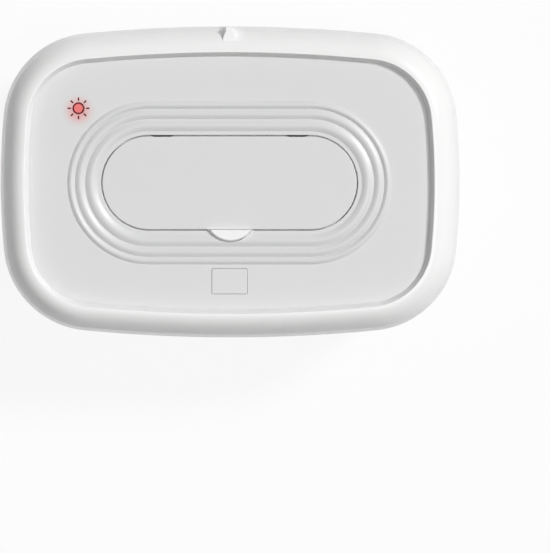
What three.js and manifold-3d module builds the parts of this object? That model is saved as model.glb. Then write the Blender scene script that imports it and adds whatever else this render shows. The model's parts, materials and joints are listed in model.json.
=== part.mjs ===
import * as THREE from 'three';
import { mergeVertices } from 'three/addons/utils/BufferGeometryUtils.js';
import Module from 'manifold-3d';

// Baby wipe warmer in millimetres. The origin is the middle of the surface it stands on.
// X runs along the long side, +Y points to the hinged rear and +Z points up.

const wasm = await Module();
wasm.setup();

// Overall form, seen from above: four bowed sides joined by round corners
const length = 242;
const width = 164;
const height = 120;
const longSideBow = 789;
const shortSideBow = 379;
const cornerRadius = 47;

// General clearances and shared small sizes
const seatGap = 0.3;
const overrun = 1;
const partClearance = 0.4;
const wall = 2.2;
const beltDepth = 26;
const lidDepth = 27.5;
const lidJoint = 0.5;

// Base shell
const baseRimInset = 3;
const baseRimChamfer = 0.8;
const baseRimWidth = 2;
const baseBottomInset = 10;
const baseBottomHeight = 3;
const baseEdgeRadius = 5;
const baseWall = 2.4;
const tubLedgeDepth = 2.1;
const tubLedgeWidth = 3;
const tubLedgeTaper = 6;
const baseDraftPower = 1.6;

// Wipes tub
const tubFlangeThickness = 1.7;
const tubTopInset = 16;
const tubFloorInset = 20;
const tubFloorHeight = 13.8;
const tubWall = 1.8;
const tubFloorRadius = 6;

// Feet and base screws
const footRadius = 7;
const footRecess = 1.3;
const footTreadRound = 0.8;
const footEdgeX = 41;
const footEdgeY = 40;
const baseScrewEdgeX = 55;
const baseScrewEdgeY = 52;
const screwPadRadius = 5.2;
const screwPadHeight = 2;
const screwHeadRadius = 2.9;
const screwHeadHeight = 1.6;
const screwShankRadius = 1.1;
const screwBoreRadius = 1.4;
const screwBossRadius = 3.6;
const screwSlotWidth = 0.7;
const screwSlotDepth = 0.6;
const screwSlotShare = 0.7;
const tubBoreStop = 0.6;

// Main hinge at the rear edge
const hingeSetback = 4.6;
const hingeDrop = 4.4;
const hingeSpacing = 68;
const knuckleRadius = 3;
const knuckleWidth = 10;
const earWidth = 6;
const hingePinRadius = 1.2;
const hingeBoreRadius = 1.5;
const hingeArmFront = 0.8;
const hingeArmBack = 2.2;
const nicheWall = 2;
const hingeArmClearance = 0.4;

// Rim cover of the lid
const crestInset = 12.4;
const crestRoundInset = 13.4;
const crestRoundDrop = 0.6;
const recessInset = 15.5;
const recessDepth = 5;
const lipWidth = 2.4;
const skirtInset = 2.5;
const skirtRibInset = 7;
const skirtRibHeight = 1.9;

// Rear inlet boss and jack
const bossWidth = 7.2;
const bossLength = 7.9;
const bossSink = 2.2;
const bossSetback = 0.1;
const inletDepth = 15;
const inletHoleRadius = 3.3;
const jackWidth = 9;
const jackBodyLength = 12;
const jackHeight = 9;
const jackBodyInset = 5.4;
const jackNoseInset = 1.4;
const jackNoseRadius = 2.95;
const jackBoreRadius = 2.5;
const jackBoreDepth = 9;
const jackPinRadius = 0.8;

// Grey top panel with three ripples round the flip lid
const panelThickness = 2.3;
const panelEdgeInset = 10;
const rippleHeight = 1.2;
const rippleStart = 2.6;
const rippleWidths = [6.4, 5.4, 4];
const rippleShares = [0, 0.2, 0.5, 0.8];
const rippleFootDepth = 0.6;

// Flip lid, a plate with straight long sides and round ends
const flipLength = 133.8;
const flipWidth = 49;
const flipThickness = 2.2;
const flipGap = 0.8;
const flipChamfer = 1.4;
const flipHingeBehind = 6.2;
const flipHingeDepth = 4.4;
const flipHingeSpacing = 70.6;
const flipArmWidth = 6;
const flipHubRadius = 1.8;
const flipPinRadius = 0.9;
const flipBoreRadius = 1.15;
const flipArmInnerRadius = 7.3;
const flipArmThickness = 1.8;
const flipArmStartAngle = 160;
const flipArmEndAngle = 285;
const flipEarOffset = 6.2;
const flipEarWidth = 2;
const flipEarRadius = 2;
const flipCoilRadius = 1.4;
const flipWire = 0.25;
const flipTurns = 3;
const flipCoilLength = 2.4;
const skirtRadius = 14.6;
const skirtWall = 1.6;
const catchWidth = 8;
const catchThickness = 1.4;
const catchLength = 5;
const catchBarb = 0.7;

// Dispenser well under the flip lid
const hingeSlotWidth = 11.6;
const wellWall = 2;
const wellLedge = 1.3;
const wellFlange = 2;
const wellFlangeThickness = 1.6;
const wellDepth = 11;
const wellFloorThickness = 2;
const mouthRadius = 11.5;
const chimneyWall = 2;
const buttonShelfLength = 10.7;
const buttonShelfWidth = 24;
const sealInnerRadius = 13.7;
const sealOuterRadius = 17.2;
const sealHeight = 1.9;
const lipOuterRadius = 13.2;
const lipInnerRadius = 7.5;
const lipThickness = 1.2;

// Half-moon release button
const buttonChord = 24;
const buttonBulge = 6.7;
const buttonDraft = 1.1;
const buttonRise = 2.5;
const buttonGap = 0.4;
const buttonFlange = 1.5;
const buttonFlangeHeight = 1.6;
const buttonHookDepth = 2;
const releaseCoilRadius = 2.4;
const releaseWire = 0.35;
const releaseTurns = 4;

// Flush power key
const keyLength = 19.2;
const keyWidth = 14;
const keyCornerRadius = 0.8;
const keySetback = 1.8;
const keyGap = 0.4;
const keyTravel = 0.8;
const keyFlange = 1.6;
const keyFlangeHeight = 1.4;
const keyStemRadius = 1.8;
const keyCoilRadius = 5.4;
const keyWire = 0.3;
const keyTurns = 3;

// Lid underside and its seal
const undersideThickness = 2.2;
const undersideLift = 2;
const plugInset = 17.5;
const plugWidth = 2;
const plugDepth = 4.5;
const heaterWindowRadius = 36;
const sealInset = 13.4;
const sealWidth = 2;

// Heater stack on the lid underside
const heaterRadius = 42;
const heaterBoreRadius = 14.2;
const heaterThickness = 1.2;
const filmInset = 2;
const filmThickness = 0.4;
const padThickness = 1.8;
const thermostatEdge = 8.4;
const thermostatRadius = 3.8;
const thermostatHeight = 6;
const thermostatFlange = 0.8;
const thermostatFlangeHeight = 1.2;
const fuseLength = 11;
const fuseRadius = 2;
const partHoleGap = 1;
const fuseLead = 3;
const fuseLeadShare = 0.25;
const terminalThickness = 0.8;
const terminalWidth = 3;
const terminalLength = 4;

// Control board, switch and indicator
const boardLength = 62;
const boardWidth = 17;
const boardThickness = 1.6;
const boardDrop = 8.4;
const boardPostRadius = 2.6;
const boardPostSpacing = 48;
const switchSize = 6;
const switchHeight = 3.2;
const switchTipRadius = 1.6;
const switchBodyShare = 0.75;
const chipX = 15;
const chipSize = 7;
const chipHeight = 1.6;
const capacitorRadius = 3;
const capacitorHeight = 5.5;
const indicatorEdgeX = 41.4;
const indicatorEdgeY = 42.6;
const indicatorBoardLength = 15;
const indicatorBoardWidth = 10;
const indicatorPostSpacing = 10;
const indicatorPostRadius = 1.7;
const ledRadius = 2.5;
const ledFlangeRadius = 2.9;
const ledFlangeHeight = 1;
const ledHeight = 4.4;
const pipeRadius = 4.5;

// Lid screws: four along the long sides and one at each short side
const lidScrewX = 58;
const lidScrewEdgeX = 25;
const lidScrewEdgeY = 25;
const lidScrewLength = 13;

// Heights and places worked out from the sizes above
const halfLength = length / 2;
const halfWidth = width / 2;
const beltHeight = height - beltDepth;
const lidBottom = height - lidDepth;
const baseRimHeight = lidBottom - lidJoint;
const hingeY = halfWidth - hingeSetback;
const hingeZ = baseRimHeight - hingeDrop;
const bossTop = height - bossSink;
const inletHeight = height - inletDepth;
const panelTop = height - recessDepth;
const panelBottom = panelTop - panelThickness;
const undersideBottom = lidBottom + undersideLift;
const undersideTop = undersideBottom + undersideThickness;
const flipRadius = flipWidth / 2;
const flipStraight = flipLength / 2 - flipRadius;
const flipBottom = panelTop - flipThickness;
const flipHingeY = flipRadius + flipHingeBehind;
const flipHingeZ = panelTop - flipHingeDepth;
const wellTop = panelBottom - seatGap;
const wellFloorTop = panelTop - wellDepth;
const wellFloorBottom = wellFloorTop - wellFloorThickness;
const tubFlangeBottom = baseRimHeight - tubLedgeDepth + seatGap;
const tubFlangeTop = tubFlangeBottom + tubFlangeThickness;
const heaterBottom = undersideTop + seatGap;
const filmBottom = heaterBottom + heaterThickness + seatGap;
const padBottom = filmBottom + filmThickness + seatGap;
const boardHeight = panelBottom - boardDrop;
const boardTop = boardHeight + boardThickness;
const switchBottom = boardTop + seatGap;
const switchTop = switchBottom + switchHeight;
const rippleEnd = rippleWidths.reduce((sum, ridge) => sum + ridge, flipRadius + rippleStart);
const keyCentreY = -rippleEnd - keySetback - keyWidth / 2;
const indicatorX = indicatorEdgeX - halfLength;
const indicatorY = halfWidth - indicatorEdgeY;
const thermostatX = flipStraight + heaterRadius - thermostatEdge;

const archShares = [0, 1, 2, 3, 4, 5, 6].map((i) => i / 6);
const arcSteps = 3;
const sideSteps = 2;
const cornerSteps = 6;
const endSteps = 10;
const roundSides = 16;
const smallSides = 10;

// Solids are joined and cut as closed meshes without normals or texture coordinates
function solidOf(geometry) {
  const bare = geometry.clone();
  bare.deleteAttribute('normal');
  bare.deleteAttribute('uv');
  const merged = mergeVertices(bare);
  const closed = (triVerts) => new wasm.Manifold(new wasm.Mesh({
    numProp: 3,
    vertProperties: new Float32Array(merged.attributes.position.array),
    triVerts,
  }));
  const triVerts = new Uint32Array(merged.index.array);
  const solid = closed(triVerts);
  return solid.volume() > 0 ? solid : closed(triVerts.reverse());
}

function geometryOf(solid) {
  const mesh = solid.getMesh();
  const geometry = new THREE.BufferGeometry();
  geometry.setAttribute('position', new THREE.BufferAttribute(new Float32Array(mesh.vertProperties), 3));
  geometry.setIndex(new THREE.BufferAttribute(new Uint32Array(mesh.triVerts), 1));
  geometry.computeVertexNormals();
  return geometry;
}

// The bowed outline, moved inwards by an inset, counter-clockwise from the +X side
function bowedOutline(inset) {
  const longCentre = halfWidth - longSideBow;
  const shortCentre = halfLength - shortSideBow;
  const longReach = longSideBow - cornerRadius;
  const shortReach = shortSideBow - cornerRadius;
  const spread = Math.hypot(shortCentre, longCentre);
  const along = (longReach ** 2 - shortReach ** 2 + spread ** 2) / (2 * spread);
  const across = Math.sqrt(longReach ** 2 - along ** 2);
  const stepX = shortCentre / spread;
  const stepY = -longCentre / spread;
  const cornerX = stepX * along + stepY * across;
  const cornerY = longCentre + stepY * along - stepX * across;
  const shortAngle = Math.atan2(cornerY, cornerX - shortCentre);
  const longAngle = Math.atan2(cornerY - longCentre, cornerX);
  const quarter = [];
  const addArc = (x, y, radius, from, to, steps, first) => {
    for (let i = first; i <= steps; i++) {
      const angle = from + ((to - from) * i) / steps;
      quarter.push([x + radius * Math.cos(angle), y + radius * Math.sin(angle)]);
    }
  };
  addArc(shortCentre, 0, shortSideBow - inset, 0, shortAngle, sideSteps, 0);
  addArc(cornerX, cornerY, cornerRadius - inset, shortAngle, longAngle, cornerSteps, 1);
  addArc(0, longCentre, longSideBow - inset, longAngle, Math.PI / 2, arcSteps, 1);
  const rightTop = quarter.slice(0, -1);
  const top = quarter[quarter.length - 1];
  const outline = [...rightTop, top];
  [...rightTop].reverse().forEach(([x, y]) => outline.push([-x, y]));
  rightTop.slice(1).forEach(([x, y]) => outline.push([-x, -y]));
  outline.push([0, -top[1]]);
  [...rightTop].reverse().slice(0, -1).forEach(([x, y]) => outline.push([x, -y]));
  return outline;
}

// A stadium: straight sides of half-length straight, ends of the given radius
function stadium(straight, radius, steps = endSteps) {
  const outline = [];
  for (const side of [1, -1]) {
    for (let i = 0; i <= steps; i++) {
      const angle = -Math.PI / 2 + (Math.PI * i) / steps;
      outline.push([side * (straight + radius * Math.cos(angle)), side * radius * Math.sin(angle)]);
    }
  }
  return outline;
}

// Skin over a stack of equal outlines; a closed stack is a ring, an open one gets two end faces
function loft(rings, closed) {
  const count = rings[0].length;
  const positions = [];
  const index = [];
  rings.forEach((ring) => ring.forEach((point) => positions.push(...point)));
  const last = closed ? rings.length : rings.length - 1;
  for (let r = 0; r < last; r++) {
    const low = r * count;
    const high = ((r + 1) % rings.length) * count;
    for (let i = 0; i < count; i++) {
      const j = (i + 1) % count;
      index.push(low + i, low + j, high + j, low + i, high + j, high + i);
    }
  }
  if (!closed) {
    for (const [ring, start, flip] of [[rings[0], 0, true], [rings.at(-1), last * count, false]]) {
      const flat = ring.map(([x, y]) => new THREE.Vector2(x, y));
      THREE.ShapeUtils.triangulateShape(flat, []).forEach(([a, b, c]) => {
        index.push(...(flip ? [start + a, start + c, start + b] : [start + a, start + b, start + c]));
      });
    }
  }
  const geometry = new THREE.BufferGeometry();
  geometry.setAttribute('position', new THREE.Float32BufferAttribute(positions, 3));
  geometry.setIndex(index);
  return geometry;
}

const raise = (outline, z) => outline.map(([x, y]) => [x, y, z]);
const bowedLoft = (profile, closed) => (
  solidOf(loft(profile.map(([inset, z]) => raise(bowedOutline(inset), z)), closed))
);
const stadiumLoft = (profile, closed, straight = flipStraight) => (
  solidOf(loft(profile.map(([radius, z]) => raise(stadium(straight, radius), z)), closed))
);
const stadiumBlock = (radius, bottom, top, straight) => (
  stadiumLoft([[radius, bottom], [radius, top]], false, straight)
);

function box(x0, x1, y0, y1, z0, z1) {
  const geometry = new THREE.BoxGeometry(x1 - x0, y1 - y0, z1 - z0);
  geometry.translate((x0 + x1) / 2, (y0 + y1) / 2, (z0 + z1) / 2);
  return solidOf(geometry);
}

// A round bar from low to high along Z, centred on (x, y)
function pillar(radius, low, high, x = 0, y = 0, sides = roundSides) {
  const geometry = new THREE.CylinderGeometry(radius, radius, high - low, sides);
  geometry.rotateX(Math.PI / 2);
  geometry.translate(x, y, (low + high) / 2);
  return solidOf(geometry);
}

// A round bar from low to high along X, centred on (y, z)
function barX(radius, low, high, y = 0, z = 0, sides = roundSides) {
  const geometry = new THREE.CylinderGeometry(radius, radius, high - low, sides);
  geometry.rotateZ(Math.PI / 2);
  geometry.translate((low + high) / 2, y, z);
  return solidOf(geometry);
}

// A round bar from low to high along Y, centred on (x, z)
function barY(radius, low, high, x = 0, z = 0, sides = roundSides) {
  const geometry = new THREE.CylinderGeometry(radius, radius, high - low, sides);
  geometry.translate(x, (low + high) / 2, z);
  return solidOf(geometry);
}

const joinAll = (first, ...rest) => rest.reduce((sum, part) => sum.add(part), first);
const cutAll = (first, ...rest) => rest.reduce((left, part) => left.subtract(part), first);

// A round coil spring on an upright axis, one unbroken tube from bottom to top
function coil(radius, wire, turns, bottom, top) {
  const stepsPerTurn = 8;
  const sides = 5;
  const steps = stepsPerTurn * turns;
  const rings = [];
  for (let i = 0; i <= steps; i++) {
    const angle = (2 * Math.PI * i) / stepsPerTurn;
    const centreZ = bottom + wire + ((top - bottom - 2 * wire) * i) / steps;
    const ring = [];
    for (let k = 0; k < sides; k++) {
      const around = (2 * Math.PI * k) / sides;
      const reach = radius + wire * Math.cos(around);
      ring.push([reach * Math.cos(angle), reach * Math.sin(angle), centreZ - wire * Math.sin(around)]);
    }
    rings.push(ring);
  }
  const positions = rings.flat(2);
  const index = [];
  for (let r = 0; r < steps; r++) {
    for (let i = 0; i < sides; i++) {
      const j = (i + 1) % sides;
      const low = r * sides;
      const high = low + sides;
      index.push(low + i, low + j, high + j, low + i, high + j, high + i);
    }
  }
  for (let i = 1; i < sides - 1; i++) {
    index.push(0, i + 1, i);
    index.push(steps * sides, steps * sides + i, steps * sides + i + 1);
  }
  const geometry = new THREE.BufferGeometry();
  geometry.setAttribute('position', new THREE.Float32BufferAttribute(positions, 3));
  geometry.setIndex(index);
  return solidOf(geometry);
}

// A block with rounded upright corners, centred on (x, y)
function roundedBlock(long, wide, radius, low, high, x = 0, y = 0) {
  const halfX = long / 2 - radius;
  const halfY = wide / 2 - radius;
  const shape = new THREE.Shape();
  shape.absarc(x + halfX, y + halfY, radius, 0, Math.PI / 2);
  shape.absarc(x - halfX, y + halfY, radius, Math.PI / 2, Math.PI);
  shape.absarc(x - halfX, y - halfY, radius, Math.PI, 1.5 * Math.PI);
  shape.absarc(x + halfX, y - halfY, radius, 1.5 * Math.PI, 2 * Math.PI);
  const options = { depth: high - low, bevelEnabled: false, curveSegments: arcSteps };
  const geometry = new THREE.ExtrudeGeometry(shape, options);
  geometry.translate(0, 0, low);
  return solidOf(geometry);
}

// A shape drawn in the YZ plane, made solid from x0 to x1
function acrossX(shape, x0, x1, curveSegments = endSteps) {
  const geometry = new THREE.ExtrudeGeometry(shape, { depth: x1 - x0, bevelEnabled: false, curveSegments });
  const turn = new THREE.Matrix4().makeBasis(
    new THREE.Vector3(0, 1, 0),
    new THREE.Vector3(0, 0, 1),
    new THREE.Vector3(1, 0, 0),
  );
  geometry.applyMatrix4(turn);
  geometry.translate(x0, 0, 0);
  return solidOf(geometry);
}

// Base shell: a drafted cup with a ledge for the tub, hinge niches, screw pads and foot recesses
const footCentres = [];
const baseScrewCentres = [];
for (const x of [-1, 1]) {
  for (const y of [-1, 1]) {
    footCentres.push([x * (halfLength - footEdgeX), y * (halfWidth - footEdgeY)]);
    baseScrewCentres.push([x * (halfLength - baseScrewEdgeX), y * (halfWidth - baseScrewEdgeY)]);
  }
}
const hingeCentres = [-hingeSpacing / 2, hingeSpacing / 2];
const padTop = baseBottomHeight + baseWall + screwPadHeight;
const edgeAngles = [0, 1, 2].map((i) => (i * Math.PI) / 4);
const draftShares = [0, 0.33, 0.67, 1];

function draftProfile(offset) {
  const low = baseBottomHeight + baseEdgeRadius;
  const high = baseRimHeight - baseRimChamfer;
  return draftShares.map((share) => [
    baseRimInset + (baseBottomInset - baseRimInset) * (1 - share) ** baseDraftPower + offset,
    low + (high - low) * share,
  ]);
}

function roundedFoot(inset, floor, radius) {
  return edgeAngles.map((angle) => [
    inset + radius * (1 - Math.sin(angle)),
    floor + radius * (1 - Math.cos(angle)),
  ]);
}

function makeBaseShell() {
  const foot = roundedFoot(baseBottomInset, baseBottomHeight, baseEdgeRadius);
  const outer = [...foot.slice(0, -1), ...draftProfile(0)];
  const ledgeInset = baseRimInset + baseRimWidth;
  const ledgeHeight = baseRimHeight - tubLedgeDepth;
  const innerSide = draftProfile(baseWall).slice(0, -1).reverse();
  const innerFoot = roundedFoot(
    baseBottomInset + baseWall,
    baseBottomHeight + baseWall,
    baseEdgeRadius - baseWall,
  );
  const taperEnd = ledgeHeight - baseWall - tubLedgeTaper;
  const profile = [
    ...outer,
    [baseRimInset + baseRimChamfer, baseRimHeight],
    [ledgeInset, baseRimHeight],
    [ledgeInset, ledgeHeight],
    [ledgeInset + tubLedgeWidth, ledgeHeight],
    [ledgeInset + tubLedgeWidth, ledgeHeight - baseWall],
    [baseRimInset + baseWall, taperEnd],
    ...innerSide.slice(0, -1),
    ...innerFoot.reverse(),
  ];
  let shell = bowedLoft(profile, false);
  const envelope = bowedLoft([...outer, [baseRimInset + baseRimChamfer, baseRimHeight]], false);
  const nicheHalf = knuckleWidth / 2 + seatGap;
  const nicheFront = hingeY - knuckleRadius - hingeArmClearance;
  const nicheBottom = hingeZ - knuckleRadius - hingeArmClearance;
  for (const x of hingeCentres) {
    const block = box(
      x - nicheHalf - nicheWall,
      x + nicheHalf + nicheWall,
      nicheFront - nicheWall,
      halfWidth,
      nicheBottom - nicheWall,
      baseRimHeight,
    );
    const ears = barX(knuckleRadius, x - nicheHalf - earWidth, x + nicheHalf + earWidth, hingeY, hingeZ);
    const niche = box(
      x - nicheHalf,
      x + nicheHalf,
      nicheFront,
      halfWidth + overrun,
      nicheBottom,
      baseRimHeight + overrun,
    );
    const bore = barX(
      hingeBoreRadius,
      x - nicheHalf - earWidth - overrun,
      x + nicheHalf + earWidth + overrun,
      hingeY,
      hingeZ,
    );
    shell = cutAll(joinAll(shell, block.intersect(envelope), ears), niche, bore);
  }
  for (const [x, y] of baseScrewCentres) {
    shell = shell.add(pillar(screwPadRadius, baseBottomHeight, padTop, x, y));
    const headHole = screwHeadRadius + partClearance;
    shell = shell.subtract(pillar(headHole, baseBottomHeight - overrun, baseBottomHeight + baseWall, x, y));
    shell = shell.subtract(pillar(screwBoreRadius, baseBottomHeight, padTop + overrun, x, y, smallSides));
  }
  for (const [x, y] of footCentres) {
    shell = shell.subtract(
      pillar(footRadius + seatGap, baseBottomHeight - overrun, baseBottomHeight + footRecess, x, y),
    );
  }
  return shell;
}

// Wipes tub: a drafted liner whose flange lies on the ledge of the shell
function makeTub() {
  const foot = tubFloorHeight - tubWall;
  const flangeEdge = baseRimInset + baseRimWidth + seatGap;
  const profile = [
    ...roundedFoot(tubFloorInset - tubWall, foot, tubFloorRadius + tubWall),
    [tubTopInset - tubWall, tubFlangeBottom],
    [flangeEdge, tubFlangeBottom],
    [flangeEdge, tubFlangeTop],
    [tubTopInset, tubFlangeTop],
    ...roundedFoot(tubFloorInset, tubFloorHeight, tubFloorRadius).reverse(),
  ];
  let tub = bowedLoft(profile, false);
  for (const x of hingeCentres) {
    const half = knuckleWidth / 2 + nicheWall + 2 * seatGap;
    const front = hingeY - knuckleRadius - hingeArmClearance - nicheWall - seatGap;
    const earHalf = knuckleWidth / 2 + earWidth + 2 * seatGap;
    const earFront = hingeY - knuckleRadius - seatGap;
    tub = cutAll(
      tub,
      box(x - half, x + half, front, halfWidth, tubFlangeBottom - overrun, baseRimHeight + overrun),
      box(x - earHalf, x + earHalf, earFront, halfWidth, tubFlangeBottom - overrun, baseRimHeight + overrun),
    );
  }
  for (const [x, y] of baseScrewCentres) {
    tub = tub.add(pillar(screwBossRadius, padTop + seatGap, foot + tubWall / 2, x, y));
    tub = tub.subtract(pillar(screwBoreRadius, padTop - overrun, foot - tubBoreStop, x, y, smallSides));
  }
  return tub;
}

// A rubber foot with a rounded tread
function makeFoot() {
  const top = baseBottomHeight + footRecess - seatGap;
  const points = [
    new THREE.Vector2(0, 0),
    new THREE.Vector2(footRadius - footTreadRound, 0),
    new THREE.Vector2(footRadius, footTreadRound),
    new THREE.Vector2(footRadius, top),
    new THREE.Vector2(0, top),
  ];
  const geometry = new THREE.LatheGeometry(points, roundSides);
  geometry.rotateX(Math.PI / 2);
  return solidOf(geometry);
}

// A pan-head screw pointing up, its head at the bottom with a cross recess
function makeScrew(shankLength) {
  const head = pillar(screwHeadRadius, 0, screwHeadHeight, 0, 0, smallSides);
  const tip = screwHeadHeight + shankLength;
  const shank = pillar(screwShankRadius, screwHeadHeight / 2, tip, 0, 0, smallSides);
  const reach = screwHeadRadius * screwSlotShare;
  const half = screwSlotWidth / 2;
  const slots = box(-reach, reach, -half, half, -overrun, screwSlotDepth).add(
    box(-half, half, -reach, reach, -overrun, screwSlotDepth),
  );
  return head.add(shank).subtract(slots);
}

// Rim cover: a convex moulded ring with a lip over the panel, hinge knuckles and the inlet boss
const undersideInset = skirtInset + wall + seatGap;

const ribBottom = undersideTop + seatGap;
const ribTop = ribBottom + skirtRibHeight;

function innerArch() {
  const rise = height - beltHeight - wall;
  const start = Math.asin((ribTop - beltHeight) / rise);
  return archShares.map((share) => {
    const angle = start + (Math.PI / 2 - start) * share;
    return [wall + (crestInset - wall) * (1 - Math.cos(angle)), beltHeight + rise * Math.sin(angle)];
  });
}

function makeRimCover() {
  const skirt = edgeAngles.slice(0, -1).map((angle) => [
    skirtInset * (1 - Math.sin(angle)),
    beltHeight - (beltHeight - lidBottom) * Math.cos(angle),
  ]);
  const arch = archShares.map((share) => {
    const angle = (Math.PI / 2) * share;
    return [crestInset * (1 - Math.cos(angle)), beltHeight + (height - beltHeight) * Math.sin(angle)];
  });
  const lipHeight = panelTop + seatGap;
  const profile = [
    ...skirt,
    ...arch,
    [crestRoundInset, height - crestRoundDrop],
    [recessInset, lipHeight],
    [recessInset - lipWidth, lipHeight],
    ...innerArch().reverse(),
    [skirtRibInset, ribTop],
    [skirtRibInset, ribBottom],
    [skirtInset + wall, ribBottom],
    [skirtInset + wall, lidBottom],
  ];
  let cover = bowedLoft(profile, true);
  const hollow = bowedLoft([[wall, beltHeight - overrun], ...innerArch()], false);
  const boss = box(
    -bossWidth / 2,
    bossWidth / 2,
    halfWidth - bossLength,
    halfWidth - bossSetback,
    beltHeight,
    bossTop,
  );
  cover = cover.add(boss.subtract(hollow));
  cover = cover.subtract(barY(inletHoleRadius, halfWidth - bossLength, halfWidth + overrun, 0, inletHeight));
  const armTop = (ribBottom + ribTop) / 2;
  for (const x of hingeCentres) {
    const low = x - knuckleWidth / 2;
    const high = x + knuckleWidth / 2;
    const knuckle = barX(knuckleRadius, low, high, hingeY, hingeZ);
    const arm = box(low, high, hingeY - hingeArmFront, hingeY + hingeArmBack, hingeZ, armTop);
    const bore = barX(hingeBoreRadius, low - overrun, high + overrun, hingeY, hingeZ);
    cover = joinAll(cover, knuckle, arm).subtract(bore);
  }
  return cover;
}

// Release button outline: a half-moon with its straight side along the flip lid
const buttonRadius = (buttonChord ** 2 / 4 + buttonBulge ** 2) / (2 * buttonBulge);
const buttonCentreY = -flipRadius - buttonBulge + buttonRadius;
const buttonChordY = -flipRadius - buttonGap;
const buttonFlangeTop = panelBottom - seatGap;
const buttonFlangeBottom = buttonFlangeTop - buttonFlangeHeight;

function halfMoon(radius) {
  const reach = Math.acos((buttonCentreY - buttonChordY) / radius);
  const outline = [];
  for (let i = 0; i <= endSteps; i++) {
    const angle = -Math.PI / 2 - reach + (2 * reach * i) / endSteps;
    outline.push([radius * Math.cos(angle), buttonCentreY + radius * Math.sin(angle)]);
  }
  return outline;
}

const halfMoonLoft = (profile) => (
  solidOf(loft(profile.map(([radius, z]) => raise(halfMoon(radius), z)), false))
);

// Grey top panel with the ripples, screw bosses and the ears of the flip hinge
const lidScrewCentres = [];
for (const x of [-1, 1]) {
  lidScrewCentres.push([x * (halfLength - lidScrewEdgeX), 0]);
  for (const y of [-1, 1]) lidScrewCentres.push([x * lidScrewX, y * (halfWidth - lidScrewEdgeY)]);
}
const flipHingeCentres = [-flipHingeSpacing / 2, flipHingeSpacing / 2];
const lidBossBottom = undersideTop + seatGap;

function rippleProfile() {
  const foot = panelTop - rippleFootDepth;
  const inner = [[flipRadius + rippleStart, foot]];
  let start = flipRadius + rippleStart;
  for (const ridge of rippleWidths) {
    for (const share of rippleShares) {
      inner.push([start + ridge * share, panelTop + rippleHeight * Math.sin(Math.PI * share)]);
    }
    start += ridge;
  }
  inner.push([start, panelTop], [start, foot]);
  return inner.reverse();
}

function makePanel() {
  let panel = bowedLoft([[panelEdgeInset, panelBottom], [panelEdgeInset, panelTop]], false);
  panel = panel.add(stadiumLoft(rippleProfile(), true));
  const low = panelBottom - overrun;
  const high = panelTop + rippleHeight + overrun;
  const opening = stadiumBlock(flipRadius + flipGap, low, high);
  const moon = halfMoonLoft([[buttonRadius + buttonGap, low], [buttonRadius + buttonGap, high]]);
  const keyHole = roundedBlock(
    keyLength + 2 * keyGap,
    keyWidth + 2 * keyGap,
    keyCornerRadius + keyGap,
    low,
    high,
    0,
    keyCentreY,
  );
  panel = cutAll(panel, opening, moon, keyHole);
  const joint = panelBottom + panelThickness / 2;
  for (const [x, y] of lidScrewCentres) {
    panel = panel.add(pillar(screwBossRadius, lidBossBottom, joint, x, y, smallSides));
    const boreTop = undersideBottom + lidScrewLength;
    panel = panel.subtract(pillar(screwBoreRadius, lidBossBottom - overrun, boreTop, x, y, smallSides));
  }
  for (const x of flipHingeCentres) {
    for (const side of [-1, 1]) {
      const near = x + side * flipEarOffset;
      const far = near + side * flipEarWidth;
      const x0 = Math.min(near, far);
      const x1 = Math.max(near, far);
      const ear = barX(flipEarRadius, x0, x1, flipHingeY, flipHingeZ).add(
        box(x0, x1, flipHingeY - flipEarRadius, flipHingeY + flipEarRadius, flipHingeZ, joint),
      );
      const bore = barX(flipBoreRadius, x0 - overrun, x1 + overrun, flipHingeY, flipHingeZ, smallSides);
      panel = panel.add(ear).subtract(bore);
    }
  }
  return panel;
}

// Lid underside: a closing plate with the heater window, the plug rim and the board posts
function makeUnderside() {
  let plate = bowedLoft([[undersideInset, undersideBottom], [undersideInset, undersideTop]], false);
  const plugTop = undersideBottom + undersideThickness / 2;
  const plug = bowedLoft([
    [plugInset, undersideBottom - plugDepth],
    [plugInset, plugTop],
    [plugInset + plugWidth, plugTop],
    [plugInset + plugWidth, undersideBottom - plugDepth],
  ], true);
  plate = plate.add(plug);
  plate = plate.subtract(stadiumBlock(heaterWindowRadius, undersideBottom - overrun, undersideTop + overrun));
  for (const [x, y] of lidScrewCentres) {
    plate = plate.subtract(
      pillar(screwBoreRadius, undersideBottom - overrun, undersideTop + overrun, x, y, smallSides),
    );
  }
  const postBottom = undersideTop - undersideThickness / 2;
  const postTop = boardHeight - seatGap;
  for (const side of [-1, 1]) {
    const boardPostX = (side * boardPostSpacing) / 2;
    const indicatorPostX = indicatorX + (side * indicatorPostSpacing) / 2;
    plate = joinAll(
      plate,
      pillar(boardPostRadius, postBottom, postTop, boardPostX, keyCentreY, smallSides),
      pillar(indicatorPostRadius, postBottom, postTop, indicatorPostX, indicatorY, smallSides),
    );
  }
  return plate;
}

const makeSeal = () => bowedLoft([
  [sealInset, tubFlangeTop + seatGap],
  [sealInset, undersideBottom - seatGap],
  [sealInset + sealWidth, undersideBottom - seatGap],
  [sealInset + sealWidth, tubFlangeTop + seatGap],
], true);

const stadiumRing = (inner, outer, low, high) => stadiumLoft([
  [outer, low],
  [outer, high],
  [inner, high],
  [inner, low],
], true);

// Dispenser well: wall, floor and chimney in one moulding, with slots for the hinge arms
const wellInner = flipRadius - wellLedge;
const wellOuter = flipRadius + flipGap + wellFlange;

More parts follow.
